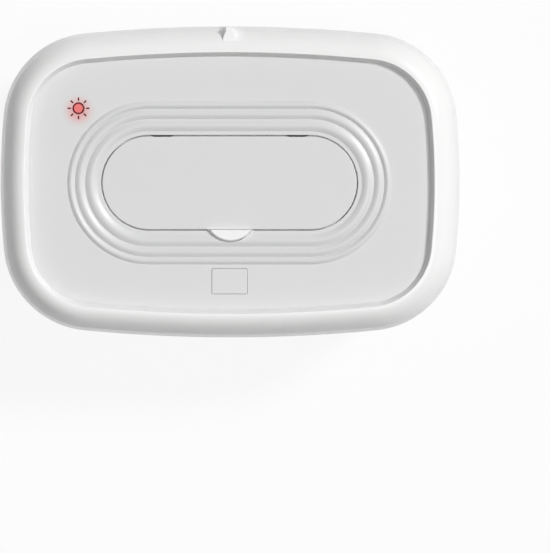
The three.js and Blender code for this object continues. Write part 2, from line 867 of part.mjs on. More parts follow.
function makeWell() {
  const chimney = mouthRadius + chimneyWall;
  let well = stadiumLoft([
    [wellInner + wellWall, wellFloorBottom],
    [wellInner + wellWall, wellTop - wellFlangeThickness],
    [wellOuter, wellTop - wellFlangeThickness],
    [wellOuter, wellTop],
    [wellInner, wellTop],
    [wellInner, wellFloorTop],
    [mouthRadius, wellFloorTop],
    [mouthRadius, undersideBottom],
    [chimney, undersideBottom],
    [chimney, wellFloorBottom],
  ], true);
  const armReach = flipArmInnerRadius + flipArmThickness + partClearance;
  for (const x of flipHingeCentres) {
    const half = hingeSlotWidth / 2;
    well = well.subtract(box(
      x - half,
      x + half,
      flipHingeY - armReach,
      wellOuter + overrun,
      flipHingeZ - armReach,
      wellTop + overrun,
    ));
  }
  const notchHalf = buttonChord / 2 + buttonFlange + partClearance;
  const shelf = box(
    -buttonShelfWidth / 2,
    buttonShelfWidth / 2,
    -wellInner - buttonShelfLength,
    -wellInner,
    wellFloorBottom,
    wellFloorTop,
  );
  const notch = box(
    -notchHalf,
    notchHalf,
    -wellOuter - overrun,
    -wellInner + overrun,
    wellFloorTop,
    wellTop + overrun,
  );
  return well.add(shelf).subtract(notch);
}

// Flip lid: plate, sealing skirt, catch tongue and two arms that curve round the panel's edge
function makeFlipLid() {
  const sealTop = wellFloorTop + seatGap + sealHeight;
  const joint = flipBottom + flipThickness / 4;
  const plate = stadiumLoft([
    [flipRadius - flipChamfer, flipBottom],
    [flipRadius, flipBottom + flipChamfer],
    [flipRadius, panelTop],
  ], false);
  const skirt = stadiumRing(skirtRadius, skirtRadius + skirtWall, sealTop + seatGap, joint);
  let lid = plate.add(skirt);
  const start = THREE.MathUtils.degToRad(flipArmStartAngle);
  const end = THREE.MathUtils.degToRad(flipArmEndAngle);
  const outerRadius = flipArmInnerRadius + flipArmThickness;
  for (const x of flipHingeCentres) {
    const x0 = x - flipArmWidth / 2;
    const x1 = x + flipArmWidth / 2;
    const band = new THREE.Shape();
    band.absarc(flipHingeY, flipHingeZ, outerRadius, start, end, false);
    band.absarc(flipHingeY, flipHingeZ, flipArmInnerRadius, end, start, true);
    const across = flipArmThickness / 2;
    const alongY = Math.cos(end);
    const alongZ = Math.sin(end);
    const reach = flipArmInnerRadius + across;
    const corner = (distance, side) => new THREE.Vector2(
      flipHingeY + alongY * distance - alongZ * side,
      flipHingeZ + alongZ * distance + alongY * side,
    );
    const spoke = new THREE.Shape([
      corner(0, across),
      corner(reach, across),
      corner(reach, -across),
      corner(0, -across),
    ]);
    const hub = barX(flipHubRadius, x0, x1, flipHingeY, flipHingeZ);
    const bore = barX(flipBoreRadius, x0 - overrun, x1 + overrun, flipHingeY, flipHingeZ, smallSides);
    const arm = joinAll(acrossX(band, x0, x1), acrossX(spoke, x0, x1), hub).subtract(bore);
    lid = lid.add(arm);
  }
  const catchFront = -flipRadius + catchBarb + seatGap;
  const tongueBottom = flipBottom - catchLength;
  const tongue = box(
    -catchWidth / 2,
    catchWidth / 2,
    catchFront,
    catchFront + catchThickness,
    tongueBottom,
    joint,
  );
  const barb = box(
    -catchWidth / 2,
    catchWidth / 2,
    catchFront - catchBarb,
    catchFront + catchThickness / 2,
    tongueBottom,
    tongueBottom + catchThickness,
  );
  return joinAll(lid, tongue, barb);
}

function makeButton() {
  const inFlange = buttonFlangeTop - buttonFlangeHeight / 2;
  const cap = halfMoonLoft([
    [buttonRadius, inFlange],
    [buttonRadius, panelTop],
    [buttonRadius - buttonDraft, panelTop + buttonRise],
  ]);
  const flange = halfMoonLoft([
    [buttonRadius + buttonFlange, buttonFlangeBottom],
    [buttonRadius + buttonFlange, buttonFlangeTop],
  ]);
  const half = catchWidth / 2;
  const hookBottom = buttonFlangeBottom - buttonHookDepth;
  const hook = box(-half, half, buttonChordY - catchThickness, buttonChordY, hookBottom, inFlange).add(
    box(-half, half, buttonChordY - catchThickness, -flipRadius, hookBottom, hookBottom + catchBarb),
  );
  return joinAll(cap, flange, hook);
}

// Power key: a flush cap with a flange under the panel and a stem over the switch
const keyFlangeTop = panelBottom - seatGap;
const keyFlangeBottom = keyFlangeTop - keyFlangeHeight;

function makeKey() {
  const inFlange = keyFlangeTop - keyFlangeHeight / 2;
  const cap = roundedBlock(keyLength, keyWidth, keyCornerRadius, inFlange, panelTop);
  const flange = roundedBlock(
    keyLength + 2 * keyFlange,
    keyWidth + 2 * keyFlange,
    keyCornerRadius + keyFlange,
    keyFlangeBottom,
    keyFlangeTop,
  );
  const stem = pillar(keyStemRadius, switchTop + keyTravel + seatGap, inFlange, 0, 0, smallSides);
  return joinAll(cap, flange, stem);
}

// Heater stack
const filmInner = heaterBoreRadius + filmInset;
const filmOuter = heaterRadius - filmInset;

function makePad() {
  const low = padBottom - overrun;
  const high = padBottom + padThickness + overrun;
  const thermostatHole = thermostatRadius + thermostatFlange + partHoleGap;
  const fuseHalfX = fuseRadius + partHoleGap;
  const fuseHalfY = fuseLength / 2 + fuseLead + partHoleGap;
  return cutAll(
    stadiumRing(filmInner, filmOuter, padBottom, padBottom + padThickness),
    pillar(thermostatHole, low, high, thermostatX, 0),
    box(-thermostatX - fuseHalfX, -thermostatX + fuseHalfX, -fuseHalfY, fuseHalfY, low, high),
  );
}

function makeThermostat() {
  const flange = pillar(thermostatRadius + thermostatFlange, 0, thermostatFlangeHeight);
  const body = pillar(thermostatRadius, 0, thermostatHeight);
  const tab = box(
    -terminalThickness / 2,
    terminalThickness / 2,
    -terminalWidth / 2,
    terminalWidth / 2,
    thermostatHeight - terminalLength / 2,
    thermostatHeight + terminalLength,
  );
  const shift = thermostatRadius / 2;
  return joinAll(flange, body, tab.translate([-shift, 0, 0]), tab.translate([shift, 0, 0]));
}

function makeFuse() {
  const body = barY(fuseRadius, -fuseLength / 2, fuseLength / 2);
  const reach = fuseLength / 2 + fuseLead;
  return body.add(barY(fuseRadius * fuseLeadShare, -reach, reach, 0, 0, smallSides));
}

// Boards, switch and indicator
function makeBoard() {
  const board = box(-boardLength / 2, boardLength / 2, -boardWidth / 2, boardWidth / 2, 0, boardThickness);
  const inBoard = boardThickness / 2;
  const chipTop = boardThickness + chipHeight;
  const chip = box(chipX - chipSize / 2, chipX + chipSize / 2, -chipSize / 2, chipSize / 2, inBoard, chipTop);
  const capacitor = pillar(capacitorRadius, inBoard, boardThickness + capacitorHeight, -chipX, 0);
  return joinAll(board, chip, capacitor);
}

function makeSwitch() {
  const half = switchSize / 2;
  const body = box(-half, half, -half, half, 0, switchHeight * switchBodyShare);
  return body.add(pillar(switchTipRadius, 0, switchHeight, 0, 0, smallSides));
}

function makeLed() {
  const domeBase = ledHeight - ledRadius;
  const points = [
    new THREE.Vector2(0, 0),
    new THREE.Vector2(ledFlangeRadius, 0),
    new THREE.Vector2(ledFlangeRadius, ledFlangeHeight),
    new THREE.Vector2(ledRadius, ledFlangeHeight),
  ];
  for (let i = 0; i < endSteps / 2; i++) {
    const angle = (Math.PI * i) / endSteps;
    points.push(new THREE.Vector2(ledRadius * Math.cos(angle), domeBase + ledRadius * Math.sin(angle)));
  }
  points.push(new THREE.Vector2(0, ledHeight));
  const geometry = new THREE.LatheGeometry(points, roundSides);
  geometry.rotateX(Math.PI / 2);
  return solidOf(geometry);
}

function makeJack() {
  const back = halfWidth - jackBodyInset;
  const noseEnd = halfWidth - jackNoseInset;
  const boreEnd = noseEnd - jackBoreDepth;
  const body = box(
    -jackWidth / 2,
    jackWidth / 2,
    back - jackBodyLength,
    back,
    inletHeight - jackHeight / 2,
    inletHeight + jackHeight / 2,
  );
  const nose = barY(jackNoseRadius, back - overrun, noseEnd, 0, inletHeight);
  const bore = barY(jackBoreRadius, boreEnd, noseEnd + overrun, 0, inletHeight);
  const pin = barY(jackPinRadius, boreEnd - overrun, noseEnd - overrun, 0, inletHeight, smallSides);
  return body.add(nose).subtract(bore).add(pin);
}

// Finishes
const finish = (colour, roughness, metalness = 0) => () => (
  new THREE.MeshStandardMaterial({ color: colour, roughness, metalness })
);
const whiteGloss = finish(0xf4f4f2, 0.25);
const whiteSatin = finish(0xeeeeec, 0.45);
const greySatin = finish(0xdcdcdc, 0.4);
const silicone = finish(0xd8d8d8, 0.7);
const darkRubber = finish(0x5a5c5e, 0.85);
const steel = finish(0xb8babd, 0.3, 1);
const aluminium = finish(0xc9cbcd, 0.4, 1);
const film = finish(0xb5651d, 0.5);
const padFoam = finish(0xe6e1d2, 0.95);
const boardGreen = finish(0x1f6b3a, 0.5);
const blackPlastic = finish(0x1c1c1e, 0.45);
const ledRed = finish(0xd83030, 0.2);
const clearPlastic = finish(0xf2dede, 0.15);

const warmer = new THREE.Group();
const base = new THREE.Group();
const mainLid = new THREE.Group();
const flipLid = new THREE.Group();
warmer.add(base, mainLid);
mainLid.add(flipLid);

function place(group, name, solid, material, x = 0, y = 0, z = 0) {
  const mesh = new THREE.Mesh(geometryOf(solid), material());
  mesh.name = name;
  mesh.position.set(x, y, z);
  group.add(mesh);
}

place(base, 'base_shell', makeBaseShell(), whiteGloss);
place(base, 'wipes_tub', makeTub(), whiteSatin);
const foot = makeFoot();
footCentres.forEach(([x, y], i) => place(base, `foot_${i + 1}`, foot, darkRubber, x, y));
const baseScrewBottom = baseBottomHeight + baseWall - screwHeadHeight - seatGap;
const baseScrewTip = tubFloorHeight - tubWall - tubBoreStop - seatGap;
const baseScrew = makeScrew(baseScrewTip - baseScrewBottom - screwHeadHeight);
baseScrewCentres.forEach(([x, y], i) => {
  place(base, `base_screw_${i + 1}`, baseScrew, steel, x, y, baseScrewBottom);
});
const hingePinHalf = knuckleWidth / 2 + earWidth;
const hingePin = barX(hingePinRadius, -hingePinHalf, hingePinHalf);
hingeCentres.forEach((x, i) => {
  place(base, `main_hinge_pin_${i + 1}`, hingePin, steel, x, hingeY, hingeZ);
});

place(mainLid, 'lid_rim_cover', makeRimCover(), whiteGloss);
place(mainLid, 'top_panel', makePanel(), greySatin);
place(mainLid, 'lid_underside', makeUnderside(), whiteSatin);
place(mainLid, 'lid_seal', makeSeal(), silicone);
const heaterTop = heaterBottom + heaterThickness;
const heater = stadiumRing(heaterBoreRadius, heaterRadius, heaterBottom, heaterTop);
place(mainLid, 'heater_plate', heater, aluminium);
const heatingFilm = stadiumRing(filmInner, filmOuter, filmBottom, filmBottom + filmThickness);
place(mainLid, 'heating_film', heatingFilm, film);
place(mainLid, 'insulation_pad', makePad(), padFoam);
place(mainLid, 'thermostat', makeThermostat(), blackPlastic, thermostatX, 0, padBottom);
place(mainLid, 'thermal_fuse', makeFuse(), steel, -thermostatX, 0, padBottom + fuseRadius);
place(mainLid, 'dispenser_well', makeWell(), whiteSatin);
const wellSeatTop = wellFloorTop + seatGap;
const lip = stadiumRing(lipInnerRadius, lipOuterRadius, wellSeatTop, wellSeatTop + lipThickness);
place(mainLid, 'dispensing_lip', lip, silicone);
const flipSeal = stadiumRing(sealInnerRadius, sealOuterRadius, wellSeatTop, wellSeatTop + sealHeight);
place(mainLid, 'flip_lid_seal', flipSeal, silicone);
place(mainLid, 'control_board', makeBoard(), boardGreen, 0, keyCentreY, boardHeight);
place(mainLid, 'power_switch', makeSwitch(), blackPlastic, 0, keyCentreY, switchBottom);
const indicatorBoard = box(
  -indicatorBoardLength / 2,
  indicatorBoardLength / 2,
  -indicatorBoardWidth / 2,
  indicatorBoardWidth / 2,
  0,
  boardThickness,
);
place(mainLid, 'indicator_board', indicatorBoard, boardGreen, indicatorX, indicatorY, boardHeight);
place(mainLid, 'indicator_led', makeLed(), ledRed, indicatorX, indicatorY, boardTop + seatGap);
const pipeBottom = boardTop + ledHeight + 2 * seatGap;
const lightPipe = pillar(pipeRadius, 0, panelBottom - seatGap - pipeBottom);
place(mainLid, 'light_pipe', lightPipe, clearPlastic, indicatorX, indicatorY, pipeBottom);
place(mainLid, 'inlet_jack', makeJack(), blackPlastic);
const lidScrew = makeScrew(lidScrewLength - partHoleGap);
const lidScrewBottom = undersideBottom - seatGap - screwHeadHeight;
lidScrewCentres.forEach(([x, y], i) => {
  place(mainLid, `lid_screw_${i + 1}`, lidScrew, steel, x, y, lidScrewBottom);
});
const flipPinHalf = flipEarOffset + flipEarWidth;
const flipPin = barX(flipPinRadius, -flipPinHalf, flipPinHalf, 0, 0, smallSides);
const flipSpring = coil(flipCoilRadius, flipWire, flipTurns, 0, flipCoilLength);
flipHingeCentres.forEach((x, i) => {
  const springX = x + flipArmWidth / 2 + seatGap;
  place(mainLid, `flip_hinge_pin_${i + 1}`, flipPin, steel, x, flipHingeY, flipHingeZ);
  place(mainLid, `flip_spring_${i + 1}`, flipSpring, steel, springX, flipHingeY, flipHingeZ);
  mainLid.children.at(-1).rotation.y = Math.PI / 2;
});
const releaseSpringY = buttonChordY - catchThickness - partClearance - releaseCoilRadius - releaseWire;
const releaseSpringLength = buttonFlangeBottom - seatGap - wellSeatTop;
const releaseSpring = coil(releaseCoilRadius, releaseWire, releaseTurns, 0, releaseSpringLength);
place(mainLid, 'release_spring', releaseSpring, steel, 0, releaseSpringY, wellSeatTop);
const keySpring = coil(keyCoilRadius, keyWire, keyTurns, 0, keyFlangeBottom - seatGap - switchBottom);
place(mainLid, 'power_key_spring', keySpring, steel, 0, keyCentreY, switchBottom);
place(mainLid, 'release_button', makeButton(), whiteGloss);
place(mainLid, 'power_key', makeKey(), greySatin, 0, keyCentreY);

flipLid.position.set(0, flipHingeY, flipHingeZ);
place(flipLid, 'flip_lid', makeFlipLid().translate([0, -flipHingeY, -flipHingeZ]), greySatin);

export default warmer;
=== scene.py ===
import json
from math import acos, asin, atan2, cos, hypot, pi, radians, sin, sqrt

import bmesh
import bpy
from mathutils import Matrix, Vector


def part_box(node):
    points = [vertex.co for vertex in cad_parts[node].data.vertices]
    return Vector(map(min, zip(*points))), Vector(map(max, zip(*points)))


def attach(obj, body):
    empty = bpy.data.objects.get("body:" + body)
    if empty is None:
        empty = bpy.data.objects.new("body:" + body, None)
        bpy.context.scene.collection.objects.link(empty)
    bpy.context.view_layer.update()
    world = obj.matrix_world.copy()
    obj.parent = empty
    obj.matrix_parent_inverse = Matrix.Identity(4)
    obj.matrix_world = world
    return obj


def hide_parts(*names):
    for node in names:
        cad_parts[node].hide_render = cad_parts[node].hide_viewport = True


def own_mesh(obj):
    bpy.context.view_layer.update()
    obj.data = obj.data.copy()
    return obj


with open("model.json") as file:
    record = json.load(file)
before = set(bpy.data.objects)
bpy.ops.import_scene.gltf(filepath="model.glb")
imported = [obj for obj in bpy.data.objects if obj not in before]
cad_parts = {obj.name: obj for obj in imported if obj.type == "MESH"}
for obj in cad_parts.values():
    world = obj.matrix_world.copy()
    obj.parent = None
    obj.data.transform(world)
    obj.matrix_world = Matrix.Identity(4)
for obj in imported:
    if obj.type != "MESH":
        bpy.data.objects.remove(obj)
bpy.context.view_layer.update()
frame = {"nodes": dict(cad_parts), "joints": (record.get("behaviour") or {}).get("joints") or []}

# Base shell
# The outer body is a deep drafted cup, moulded in one shot of glossy white ABS.
# Its rim carries the wipes tub, and ears beside two rear niches hold the hinge pins.
half_length, half_width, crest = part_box("lid_rim_cover")[1]
long_bow = 0.789
short_bow = 0.379
corner_radius = 0.047
seat_gap = 0.0003
base_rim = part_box("base_shell")[1][2]
rim_inset = 0.003
foot_inset = 0.010
base_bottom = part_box("base_shell")[0][2]
base_edge = 0.005
base_wall = 0.0024
base_draft_power = 1.6
ledge_depth = 0.0021
ledge_width = 0.003
ledge_taper = 0.006
rim_width = 0.002
rim_round = 0.0008
hinge_y = frame["joints"][0]["pos_m"][1]
hinge_z = frame["joints"][0]["pos_m"][2]
hinge_places = (-0.034, 0.034)
knuckle_radius = 0.003
knuckle_half = 0.005
ear_width = 0.006
niche_wall = 0.002
niche_gap = 0.0004
hinge_bore = 0.0015
overrun = 0.001

# Centres and turning points of the arcs that make up the bowed outline seen from above
long_y = half_width - long_bow
short_x = half_length - short_bow
spread = hypot(short_x, long_y)
long_reach = long_bow - corner_radius
short_reach = short_bow - corner_radius
along = (long_reach**2 - short_reach**2 + spread**2) / (2 * spread)
across = sqrt(long_reach**2 - along**2)
corner_x = (short_x * along - long_y * across) / spread
corner_y = long_y - (long_y * along + short_x * across) / spread
short_turn = atan2(corner_y, corner_x - short_x)
long_turn = atan2(corner_y - long_y, corner_x)


def sweep(start, end, steps):
    """Even steps from one value to another, with both ends."""
    return [start + (end - start) * step / steps for step in range(steps + 1)]


def bowed(inset, z):
    """The outline moved inwards by an inset, counter-clockwise from the +X side."""
    arcs = (
        (short_x, 0, short_bow - inset, 0, short_turn, 10),
        (corner_x, corner_y, corner_radius - inset, short_turn, long_turn, 22),
        (0, long_y, long_bow - inset, long_turn, pi / 2, 12),
    )
    quarter = [
        (x + radius * cos(turn), y + radius * sin(turn))
        for x, y, radius, *way in arcs
        for turn in sweep(*way)[:-1]
    ]
    top = (0, half_width - inset)
    ring = quarter + [top] + [(-x, y) for x, y in reversed(quarter)]
    ring += [(-x, -y) for x, y in quarter[1:]] + [(0, -top[1])]
    ring += [(x, -y) for x, y in reversed(quarter[1:])]
    return [(x, y, z) for x, y in ring]


def loft(rings, closed=False):
    """Skin over rings of equal count. A closed loft is a tube in itself, an open one has caps."""
    count = len(rings[0])
    points = [point for ring in rings for point in ring]
    faces = []
    for low in range(len(rings) if closed else len(rings) - 1):
        a = low * count
        b = (low + 1) % len(rings) * count
        for i in range(count):
            j = (i + 1) % count
            faces.append((a + i, a + j, b + j, b + i))
    if not closed:
        faces.append(tuple(reversed(range(count))))
        faces.append(tuple(range(len(points) - count, len(points))))
    return points, faces


def rounded(corners, closed=False, steps=4):
    """Turns (u, v, radius) corners into points, with an arc where there is a radius."""
    points = []
    most = 0.49
    last = len(corners) - 1
    for i, (u, v, radius) in enumerate(corners):
        if not radius or (not closed and i in (0, last)):
            points.append((u, v))
            continue
        ways = []
        for other in (corners[i - 1], corners[(i + 1) % len(corners)]):
            reach = hypot(other[0] - u, other[1] - v)
            ways.append(((other[0] - u) / reach, (other[1] - v) / reach, reach))
        a, b = ways
        half = acos(max(-1, min(1, a[0] * b[0] + a[1] * b[1]))) / 2
        back = min(radius * cos(half) / sin(half), most * a[2], most * b[2])
        start, end = [(u + way[0] * back, v + way[1] * back) for way in ways]
        pull = sin(half)
        for s in sweep(0, 1, steps):
            weights = ((1 - s) ** 2, 2 * s * (1 - s) * pull, s**2)
            total = sum(weights)
            points.append(tuple(
                (weights[0] * start[k] + weights[1] * (u, v)[k] + weights[2] * end[k]) / total
                for k in (0, 1)
            ))
    return points


def bowed_skin(corners, closed=False):
    """A skin that follows the bowed outline, from rounded (inset, height, radius) corners."""
    return loft([bowed(u, v) for u, v in rounded(corners, closed)], closed)


def quarter_round(inset, floor, radius, steps=8):
    """The rounded edge between a floor and a wall, from the floor up."""
    turns = sweep(0, pi / 2, steps)
    return [(inset + radius * (1 - sin(t)), floor + radius * (1 - cos(t))) for t in turns]


def block(low, high):
    """A box between two corners."""
    ring = [(low[0], low[1]), (high[0], low[1]), (high[0], high[1]), (low[0], high[1])]
    return loft([[(x, y, z) for x, y in ring] for z in (low[2], high[2])])


def rod(axis, profile, u=0, v=0, sides=48):
    """A turned bar: (radius, place) pairs along an axis, centred on the two other coordinates."""
    rings = []
    for radius, place in profile:
        ring = []
        for turn in sweep(0, 2 * pi, sides)[:-1]:
            a = u + radius * cos(turn)
            b = v + radius * sin(turn)
            ring.append({"x": (place, a, b), "y": (a, place, b), "z": (a, b, place)}[axis])
        rings.append(ring)
    return loft(rings)


def bar(axis, radius, start, end, u=0, v=0, sides=24):
    """A plain round bar from one place on its axis to another."""
    return rod(axis, [(radius, start), (radius, end)], u, v, sides)


def pin(radius, start, end, edge, y, z, sides=48):
    """A round bar along X with broken ends."""
    profile = [(radius - edge, start), (radius, start + edge)]
    profile += [(radius, end - edge), (radius - edge, end)]
    return rod("x", profile, y, z, sides)


def make(name, *shapes):
    """One mesh object of one or more closed shapes."""
    work = bmesh.new()
    for points, faces in shapes:
        corners = [work.verts.new(point) for point in points]
        for face in faces:
            work.faces.new([corners[i] for i in face])
    bmesh.ops.recalc_face_normals(work, faces=work.faces)
    mesh = bpy.data.meshes.new(name)
    work.to_mesh(mesh)
    work.free()
    piece = bpy.data.objects.new(name, mesh)
    bpy.context.scene.collection.objects.link(piece)
    return piece


def settle(piece):
    """Applies the piece's modifiers to its mesh."""
    graph = bpy.context.evaluated_depsgraph_get()
    mesh = bpy.data.meshes.new_from_object(piece.evaluated_get(graph))
    worn = piece.data
    piece.modifiers.clear()
    piece.data = mesh
    mesh.name = piece.name
    bpy.data.meshes.remove(worn)


def combine(piece, operation, *shapes):
    """Joins shapes to a piece or cuts them out of it. The shapes stand apart from each other."""
    tool = make("tool", *shapes)
    step = piece.modifiers.new("combine", "BOOLEAN")
    step.operation = operation
    step.solver = "EXACT"
    step.object = tool
    settle(piece)
    bpy.data.objects.remove(tool)


def join(piece, *shapes):
    combine(piece, "UNION", *shapes)


def cut(piece, *shapes):
    combine(piece, "DIFFERENCE", *shapes)


def shape_of(piece):
    """The points and faces of a piece, which itself is taken away."""
    points = [tuple(vertex.co) for vertex in piece.data.vertices]
    faces = [tuple(face.vertices) for face in piece.data.polygons]
    bpy.data.objects.remove(piece)
    return points, faces


def soften(piece, width, angle=50):
    """Breaks the sharp edges that moulding never leaves."""
    step = piece.modifiers.new("soften", "BEVEL")
    step.width = width
    step.segments = 2
    step.limit_method = "ANGLE"
    step.angle_limit = radians(angle)
    settle(piece)


def smooth(piece, angle):
    """Smooth shading that keeps flat faces flat, and the edges sharper than the angle."""
    mesh = piece.data
    mesh.polygons.foreach_set("use_smooth", [True] * len(mesh.polygons))
    mesh.set_sharp_from_angle(angle=radians(angle))
    step = piece.modifiers.new("even", "WEIGHTED_NORMAL")
    step.keep_sharp = True
    step.weight = 100
    settle(piece)


def draft(offset, steps=18):
    """The drafted side of the base from its foot to its rim."""
    low = base_bottom + base_edge
    high = base_rim - rim_round
    lean = foot_inset - rim_inset
    return [
        (rim_inset + lean * (1 - s) ** base_draft_power + offset, low + (high - low) * s)
        for s in sweep(0, 1, steps)
    ]


def supply(tree, node, inputs):
    """Sets a node's inputs, each to a value or to another node's output."""
    for label, value in inputs.items():
        if isinstance(value, bpy.types.NodeSocket):
            tree.links.new(value, node.inputs[label])
        else:
            node.inputs[label].default_value = value


def new_node(tree, kind, inputs):
    """A shader node with its inputs set."""
    node = tree.nodes.new("ShaderNode" + kind)
    supply(tree, node, inputs)
    return node


def on_piece(tree):
    """The piece's own coordinates."""
    return tree.nodes.new("ShaderNodeTexCoord").outputs["Object"]


def number(tree, operation, first, second):
    """A sum, difference, product or larger one of two values."""
    node = new_node(tree, "Math", {0: first, 1: second})
    node.operation = operation
    return node.outputs[0]


def spread_out(tree, value, low, high):
    """A value from 0 to 1 mapped to a range."""
    return new_node(tree, "MapRange", {"Value": value, "To Min": low, "To Max": high}).outputs[0]


def speckle(tree, where, scale, detail=2.0):
    """Noise on the piece's own coordinates."""
    return new_node(tree, "TexNoise", {"Vector": where, "Scale": scale, "Detail": detail}).outputs["Fac"]


def new_group(name, inputs, outputs):
    """An empty node group. Its Colour sockets take colours, all others numbers."""
    group = bpy.data.node_groups.new(name, "ShaderNodeTree")
    for side, labels in (("INPUT", inputs), ("OUTPUT", outputs)):
        for label in labels:
            kind = "NodeSocketColor" if label == "Colour" else "NodeSocketFloat"
            group.interface.new_socket(label, in_out=side, socket_type=kind)
    return group, group.nodes.new("NodeGroupInput").outputs, group.nodes.new("NodeGroupOutput")


# Moulded skin: the slow drift in tone and gloss of a moulding and the fine grain of its tool
moulded_skin, taken, given = new_group(
    "moulded_skin",
    ("Colour", "Drift", "Gloss", "Gloss Drift", "Grain Scale"),
    ("Colour", "Roughness", "Height"),
)
tone_scale = 26.0
sheen_scale = 90.0
wave_scale = 60.0
tree = moulded_skin
where = on_piece(tree)
tone = number(tree, "SUBTRACT", speckle(tree, where, tone_scale, 3.0), 0.5)
tone = number(tree, "MULTIPLY", tone, taken["Drift"])
value = number(tree, "ADD", tone, 1.0)
shade = new_node(tree, "HueSaturation", {"Color": taken["Colour"], "Value": value})
sheen = number(tree, "SUBTRACT", speckle(tree, where, sheen_scale, 4.0), 0.5)
sheen = number(tree, "MULTIPLY", sheen, taken["Gloss Drift"])
fine = speckle(tree, where, taken["Grain Scale"], 3.0)
wave = number(tree, "MULTIPLY", speckle(tree, where, wave_scale, 1.0), 2.0)
supply(tree, given, {
    "Colour": shade.outputs["Color"],
    "Roughness": number(tree, "ADD", sheen, taken["Gloss"]),
    "Height": number(tree, "ADD", fine, wave),
})


def finish(name, metallic=0.0, specular=0.5):
    """A new material with its Principled shader."""
    material = bpy.data.materials.new(name)
    material.use_nodes = True
    tree = material.node_tree
    shader = tree.nodes["Principled BSDF"]
    supply(tree, shader, {"Metallic": metallic, "Specular IOR Level": specular})
    return material, tree, shader


def relieve(tree, shader, height, strength, distance):
    """Feeds a height to the shader through a Bump node."""
    bump = new_node(tree, "Bump", {"Height": height, "Strength": strength, "Distance": distance})
    supply(tree, shader, {"Normal": bump.outputs["Normal"]})


def skinned(name, group, inputs, strength, depth, metallic=0.0, specular=0.5):
    """A material with the colour, roughness and relief of a node group."""
    material, tree, shader = finish(name, metallic, specular)
    skin = tree.nodes.new("ShaderNodeGroup")
    skin.node_tree = group
    supply(tree, skin, inputs)
    supply(tree, shader, {"Base Color": skin.outputs["Colour"], "Roughness": skin.outputs["Roughness"]})
    relieve(tree, shader, skin.outputs["Height"], strength, depth)
    return material


def moulded(
    name, colour, gloss, drift=0.03, gloss_drift=0.08, grain=1800.0, depth=0.00002, strength=0.2,
    specular=0.5,
):
    """A moulded plastic, rubber or silicone."""
    return skinned(name, moulded_skin, {
        "Colour": (*colour, 1),
        "Drift": drift,
        "Gloss": gloss,
        "Gloss Drift": gloss_drift,
        "Grain Scale": grain,
    }, strength, depth, specular=specular)


def stand_in(piece, body, slot, material, *nodes, angle=32):
    """Smooths and dresses a piece, sets it on its body and hides the nodes it stands for."""
    smooth(piece, angle)
    piece.data.materials.clear()
    piece.data.materials.append(material)
    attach(piece, body)
    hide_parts(*nodes)


def dress(material, *nodes):
    """Gives the nodes that stay in view their material."""
    for node in nodes:
        for holder in frame["nodes"][node].material_slots:
            holder.material = material


white_gloss = moulded("white_gloss", (0.88, 0.88, 0.875), 0.3, 0.015, 0.03, depth=0.000004, strength=0.1)

foot_edge = quarter_round(foot_inset, base_bottom, base_edge)
ledge_inset = rim_inset + rim_width
ledge_top = base_rim - ledge_depth
inner_foot = quarter_round(foot_inset + base_wall, base_bottom + base_wall, base_edge - base_wall)
inner_side = [(u, v) for u, v in reversed(draft(base_wall)) if v < ledge_top - base_wall - ledge_taper]
base_profile = [(u, v, 0) for u, v in foot_edge[:-1] + draft(0)[:-2]]
base_profile += [
    (rim_inset, base_rim, rim_round),
    (ledge_inset, base_rim, rim_round / 2),
    (ledge_inset, ledge_top, 0),
    (ledge_inset + ledge_width, ledge_top, rim_round / 2),
    (ledge_inset + ledge_width, ledge_top - base_wall, 0),
]
base_profile += [(u, v, 0) for u, v in inner_side[:-1] + inner_foot[::-1]]
base_shell = make("base_body", bowed_skin(base_profile))

niche_half = knuckle_half + seat_gap
niche_front = hinge_y - knuckle_radius - niche_gap
niche_bottom = hinge_z - knuckle_radius - niche_gap
envelope = [bowed(u + base_wall / 2, v) for u, v in foot_edge[:-1] + draft(0)[:-1]]
envelope.append(bowed(rim_inset + base_wall / 2, base_rim - seat_gap))
for x in hinge_places:
    cheeks = make("cheeks", block(
        (x - niche_half - niche_wall, niche_front - niche_wall, niche_bottom - niche_wall),
        (x + niche_half + niche_wall, half_width, base_rim),
    ))
    combine(cheeks, "INTERSECT", loft(envelope))
    join(base_shell, shape_of(cheeks))
    far = niche_half + ear_width
    join(base_shell, pin(knuckle_radius, x - far, x + far, rim_round / 2, hinge_y, hinge_z))
    cut(base_shell, block(
        (x - niche_half, niche_front, niche_bottom),
        (x + niche_half, half_width + overrun, base_rim + overrun),
    ))
    cut(base_shell, bar("x", hinge_bore, x - far - overrun, x + far + overrun, hinge_y, hinge_z))

feet = [f"foot_{i}" for i in (1, 2, 3, 4)]
base_screws = [f"base_screw_{i}" for i in (1, 2, 3, 4)]


def centre(node):
    """Middle of a node's box, seen from above."""
    low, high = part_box(node)
    return (low[0] + high[0]) / 2, (low[1] + high[1]) / 2


def uprights(nodes, radius, low, high, sides=24):
    """One upright bar in the middle of each of the nodes."""
    return [bar("z", radius, low, high, *centre(n), sides) for n in nodes]


foot_radius = 0.007
foot_recess = 0.0013
screw_head = 0.0029
below = base_bottom - overrun
above = base_bottom + (base_wall + overrun)
recesses = uprights(feet, foot_radius + seat_gap, below, base_bottom + foot_recess, 48)
recesses += uprights(base_screws, screw_head + niche_gap, below, above, 48)
cut(base_shell, *recesses)
stand_in(base_shell, "base", "white_gloss", white_gloss, "base_shell")

